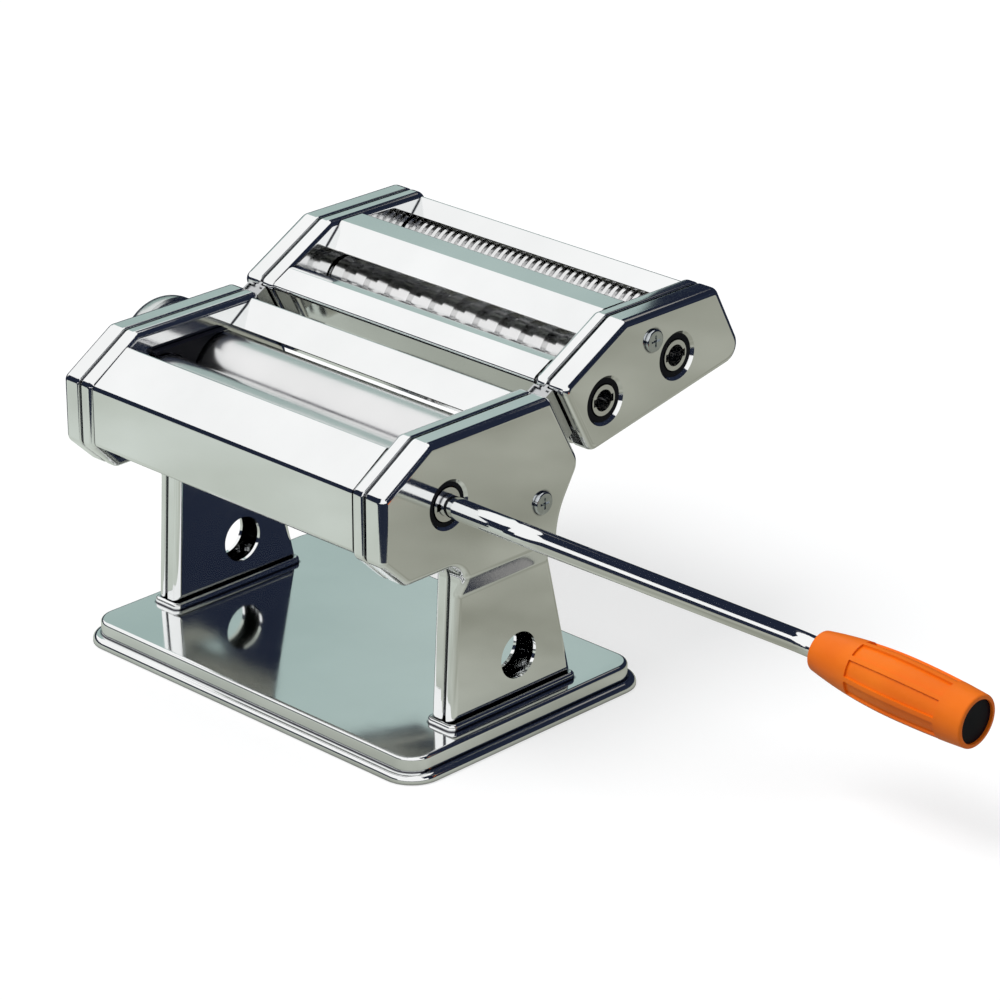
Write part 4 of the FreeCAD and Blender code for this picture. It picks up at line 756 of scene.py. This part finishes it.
@dataclass(frozen=True)
class SheetGlow:
    """A pale sheet: brighter at the front left, beige at the back right, and darker under the machine by
    a painted shadow.
    """

    name: str = "pale_sheet"
    shade_reach: float = 0.025
    mottle_scale: float = 11.0
    mottle_detail: float = 4.0
    bright_side: Triple = (-1.0, -1.0, 0.0)
    drift: float = 0.22
    back_low: Triple = (0.24, 0.245, 0.20)
    back_high: Triple = (0.42, 0.43, 0.37)
    front_low: Triple = (0.50, 0.54, 0.48)
    front_high: Triple = (0.64, 0.69, 0.64)

    def material(self) -> bpy.types.Material:
        """Builds the node material.

        Returns:
            The material.
        """
        material, sheet = new_material(self.name)
        light = sheet.add("Emission")
        # Painted shadow: ambient occlusion dims the sheet's glow near the machine.
        shade = sheet.add("AmbientOcclusion", Distance=self.shade_reach)
        sheet.join(shade.outputs["AO"], light.inputs["Strength"])
        mottle = sheet.noise(self.mottle_scale, self.mottle_detail)
        back = sheet.shades(mottle, self.back_low, self.back_high)
        front = sheet.shades(mottle, self.front_low, self.front_high)
        place = sheet.add("TexCoord")
        along = sheet.add("VectorMath", operation="DOT_PRODUCT")
        along.inputs[1].default_value = self.bright_side
        sheet.join(place.outputs["Object"], along.inputs[0])
        share = sheet.add("MapRange", From_Min=-self.drift, From_Max=self.drift)
        sheet.join(along.outputs["Value"], share.inputs["Value"])
        mix = sheet.add("MixRGB")
        sheet.join(share.outputs["Result"], mix.inputs["Fac"])
        sheet.join(back, mix.inputs["Color1"])
        sheet.join(front, mix.inputs["Color2"])
        sheet.join(mix.outputs["Color"], light.inputs["Color"])
        sheet.show(light.outputs["Emission"])
        return material


def put_on_stage(name: str, mesh: bmesh.types.BMesh, material: bpy.types.Material, sight: Sight) -> None:
    """Makes a bmesh into a staged object for one kind of ray.

    Args:
        name: The object's name.
        mesh: Its bmesh, which is freed.
        material: Its material.
        sight: Which rays meet it.
    """
    staged = linked(name, mesh)
    staged.data.materials.append(material)
    reflected = sight is Sight.REFLECTION
    staged.visible_glossy = reflected
    staged.visible_camera = not reflected
    staged.visible_diffuse = not reflected
    staged.visible_transmission = not reflected
    staged.visible_shadow = not reflected
    staged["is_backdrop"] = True
    LOG.info("studio: %s", name)


@dataclass
class PhotoCamera:
    """The camera at the photograph's place, with angles in degrees."""

    azimuth: float = 44.4
    elevation: float = 23.35
    place: Triple = (1.1280, -1.0692, 0.7435)
    lens: float = 148.14
    sensor: float = 36.0

    def build(self) -> None:
        """Adds the camera and makes it the scene's."""
        data = bpy.data.cameras.new("camera")
        data.lens = self.lens
        data.sensor_width = self.sensor
        camera = bpy.data.objects.new("camera", data)
        camera.location = self.place
        tilt = math.radians(RIGHT_ANGLE - self.elevation)
        camera.rotation_euler = (tilt, 0.0, math.radians(self.azimuth))
        bpy.context.scene.collection.objects.link(camera)
        bpy.context.scene.camera = camera


@dataclass
class SoftLight:
    """A soft sky and a broad lamp high over the front left of the machine."""

    sky: Triple = (0.96, 0.98, 1.0)
    sky_strength: float = 0.50
    key_strength: float = 1.9
    key_spread: float = 35.0
    key_from: Triple = (-0.35, -0.75, 1.5)

    def build(self) -> None:
        """Adds the sky and the lamp."""
        self.world()
        self.key()

    def world(self) -> None:
        """White for the camera, for mirrors and through glass, and a soft grey for light."""
        world = bpy.data.worlds.new("studio")
        world.use_nodes = True
        bpy.context.scene.world = world
        sheet = NodeSheet(world.node_tree)
        path = sheet.add("LightPath")
        seen = path.outputs["Is Camera Ray"]
        for ray in ("Is Glossy Ray", "Is Transmission Ray"):
            either = sheet.add("Math", operation="MAXIMUM")
            sheet.join(seen, either.inputs[0])
            sheet.join(path.outputs[ray], either.inputs[1])
            seen = either.outputs["Value"]
        light = sheet.add("Background", Color=opaque(self.sky), Strength=self.sky_strength)
        white = sheet.add("Background", Color=opaque(WHITE), Strength=1.0)
        choice = sheet.add("MixShader")
        sheet.join(seen, choice.inputs["Fac"])
        sheet.join(light.outputs["Background"], choice.inputs[1])
        sheet.join(white.outputs["Background"], choice.inputs[2])
        sheet.show(choice.outputs["Shader"], "OutputWorld")

    def key(self) -> None:
        """The lamp, which the metal doesn't mirror."""
        data = bpy.data.lights.new("key", "SUN")
        data.energy = self.key_strength
        data.angle = math.radians(self.key_spread)
        key = bpy.data.objects.new("key", data)
        key.rotation_euler = (-Vector(self.key_from)).to_track_quat("-Z", "Y").to_euler()
        key.visible_glossy = False
        bpy.context.scene.collection.objects.link(key)


@dataclass
class Ground:
    """White floor for the camera, and the pale sheet on a dark table that the metal mirrors instead.

    A drop is how far a piece lies under the machine's feet.
    """

    floor_radius: float = 3.0
    floor_drop: float = 0.0004
    table_drop: float = 0.0003
    strip_drop: float = 0.00024
    sheet_drop: float = 0.0002
    disc_sides: int = 64
    sheet_radius: float = 0.32
    patch_radius: float = 0.13
    patch_sides: int = 48
    patch_place: Pair = (-0.245, 0.315)
    strip_half: Pair = (0.17, 0.95)
    strip_turn: float = -45.0
    white: FloorFinish = FloorFinish()
    dark: CardGlow = CardGlow("dark_table", (0.012, 0.016, 0.030), (0.020, 0.026, 0.046))
    pale: SheetGlow = SheetGlow()

    def build(self) -> None:
        """Stages the floor, the table, the sheet and the patch and strip that widen it."""
        floor = disc((0.0, 0.0, -self.floor_drop), self.floor_radius, self.disc_sides)
        put_on_stage("floor", floor, self.white.material(), Sight.CAMERA)
        table = disc((0.0, 0.0, -self.table_drop), STUDIO_RADIUS, self.disc_sides)
        put_on_stage("dark_table", table, self.dark.material(), Sight.REFLECTION)
        pale = self.pale.material()
        sheet = disc((0.0, 0.0, -self.sheet_drop), self.sheet_radius, self.disc_sides)
        put_on_stage("pale_sheet", sheet, pale, Sight.REFLECTION)
        patch = disc((*self.patch_place, -self.sheet_drop), self.patch_radius, self.patch_sides)
        put_on_stage("pale_patch", patch, pale, Sight.REFLECTION)
        turn = Matrix.Rotation(math.radians(self.strip_turn), 4, "Z")
        strip = panel(Matrix.Translation((0.0, 0.0, -self.strip_drop)) @ turn, self.strip_half)
        put_on_stage("pale_strip", strip, pale, Sight.REFLECTION)


@dataclass(frozen=True)
class Card:
    """A curved card of the surround, from one turn to another in degrees from +Y towards +X."""

    name: str
    glow: CardGlow
    start: float
    end: float
    foot: float
    top: float

    def bent(self, radius: float, steps: int) -> bmesh.types.BMesh:
        """Bends the card round the machine.

        Args:
            radius: Its distance from the machine's middle.
            steps: Faces along it.

        Returns:
            Its bmesh.
        """
        mesh = bmesh.new()
        turn = Matrix.Rotation(math.radians(-self.start), 3, "Z")
        foot = mesh.verts.new(turn @ Vector((0.0, radius, self.foot)))
        top = mesh.verts.new(turn @ Vector((0.0, radius, self.top)))
        edge = mesh.edges.new((foot, top))
        bmesh.ops.spin(mesh, geom=[foot, top, edge], cent=(0.0, 0.0, 0.0), axis=(0.0, 0.0, 1.0),
                       angle=math.radians(self.start - self.end), steps=steps)
        return mesh


@dataclass
class Surround:
    """Dark walls and cards that only the metal mirrors, with turns in degrees from +Y towards +X."""

    steps: int = 32
    front: float = 180.0   # straight in front of the machine
    pale_start: float = -80.0
    pale_end: float = -38.0
    grey_start: float = -12.0
    grey_end: float = 16.0
    wall_end: float = 84.0
    side_end: float = 97.0
    skirt_top: float = 0.15
    wall_top: float = 0.50
    window_top: float = 0.80
    pale_top: float = 1.25
    back_top: float = 1.68
    grey_top: float = 1.84
    tall_top: float = 2.3
    flag_gap: float = 0.035
    flag_x: Pair = (-0.170, 0.100)
    flag_z: Pair = (0.128, 0.182)
    dark: CardGlow = CardGlow("dark_surround", (0.010, 0.014, 0.028), (0.018, 0.024, 0.045))
    pale: CardGlow = CardGlow("pale_card", (0.34, 0.45, 0.43), (0.44, 0.54, 0.52))
    grey: CardGlow = CardGlow("grey_card", (0.26, 0.25, 0.24), (0.36, 0.35, 0.34))

    def build(self) -> None:
        """Stages the curved cards and the flag."""
        materials = {glow: glow.material() for glow in (self.dark, self.pale, self.grey)}
        for card in self.cards():
            mesh = card.bent(STUDIO_RADIUS, self.steps)
            put_on_stage(card.name, mesh, materials[card.glow], Sight.REFLECTION)
        put_on_stage("front_flag", self.flag(), materials[self.dark], Sight.REFLECTION)

    def cards(self) -> tuple[Card, ...]:
        """Lists the curved cards.

        Returns:
            The cards, from the low walls to the high ones.
        """
        return (
            Card("dark_wall", self.dark, -self.front, self.wall_end, 0.0, self.wall_top),
            Card("dark_skirt", self.dark, self.wall_end, self.front, 0.0, self.skirt_top),
            Card("pale_card", self.pale, self.pale_start, self.pale_end, self.wall_top, self.pale_top),
            Card("tall_card", self.dark, self.pale_end, self.wall_end, self.wall_top, self.back_top),
            Card("tall_left", self.dark, self.pale_end, self.grey_start, self.back_top, self.tall_top),
            Card("tall_right", self.dark, self.grey_end, self.wall_end, self.back_top, self.tall_top),
            Card("grey_card", self.grey, self.grey_start, self.grey_end, self.back_top, self.grey_top),
            Card("tall_back", self.dark, self.grey_start, self.grey_end, self.grey_top, self.tall_top),
            Card("side_card", self.dark, self.wall_end, self.side_end, self.window_top, self.tall_top),
        )

    def flag(self) -> bmesh.types.BMesh:
        """Makes a small card close before the machine, which the bend of its front cover mirrors.

        Returns:
            Its bmesh.
        """
        front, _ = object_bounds()
        left, right = self.flag_x
        low, high = self.flag_z
        place = Matrix.Translation(((left + right) / 2, front[1] - self.flag_gap, (low + high) / 2))
        upright = Matrix.Rotation(QUARTER_TURN, 4, "X")
        return panel(place @ upright, ((right - left) / 2, (high - low) / 2))


def main() -> None:
    """Dresses the machine and sets up the studio."""
    logging.basicConfig(level=logging.INFO, format="%(name)s %(message)s")
    bpy.context.scene.view_settings.view_transform = "Standard"
    materials = {finish.slot: finish.material() for finish in FINISHES}
    for group in MACHINE:
        group.dress(materials)
    BasePan().build(materials)
    KnobSpring().build(materials)
    PhotoCamera().build()
    SoftLight().build()
    Ground().build()
    Surround().build()


if __name__ == "__main__":
    main()
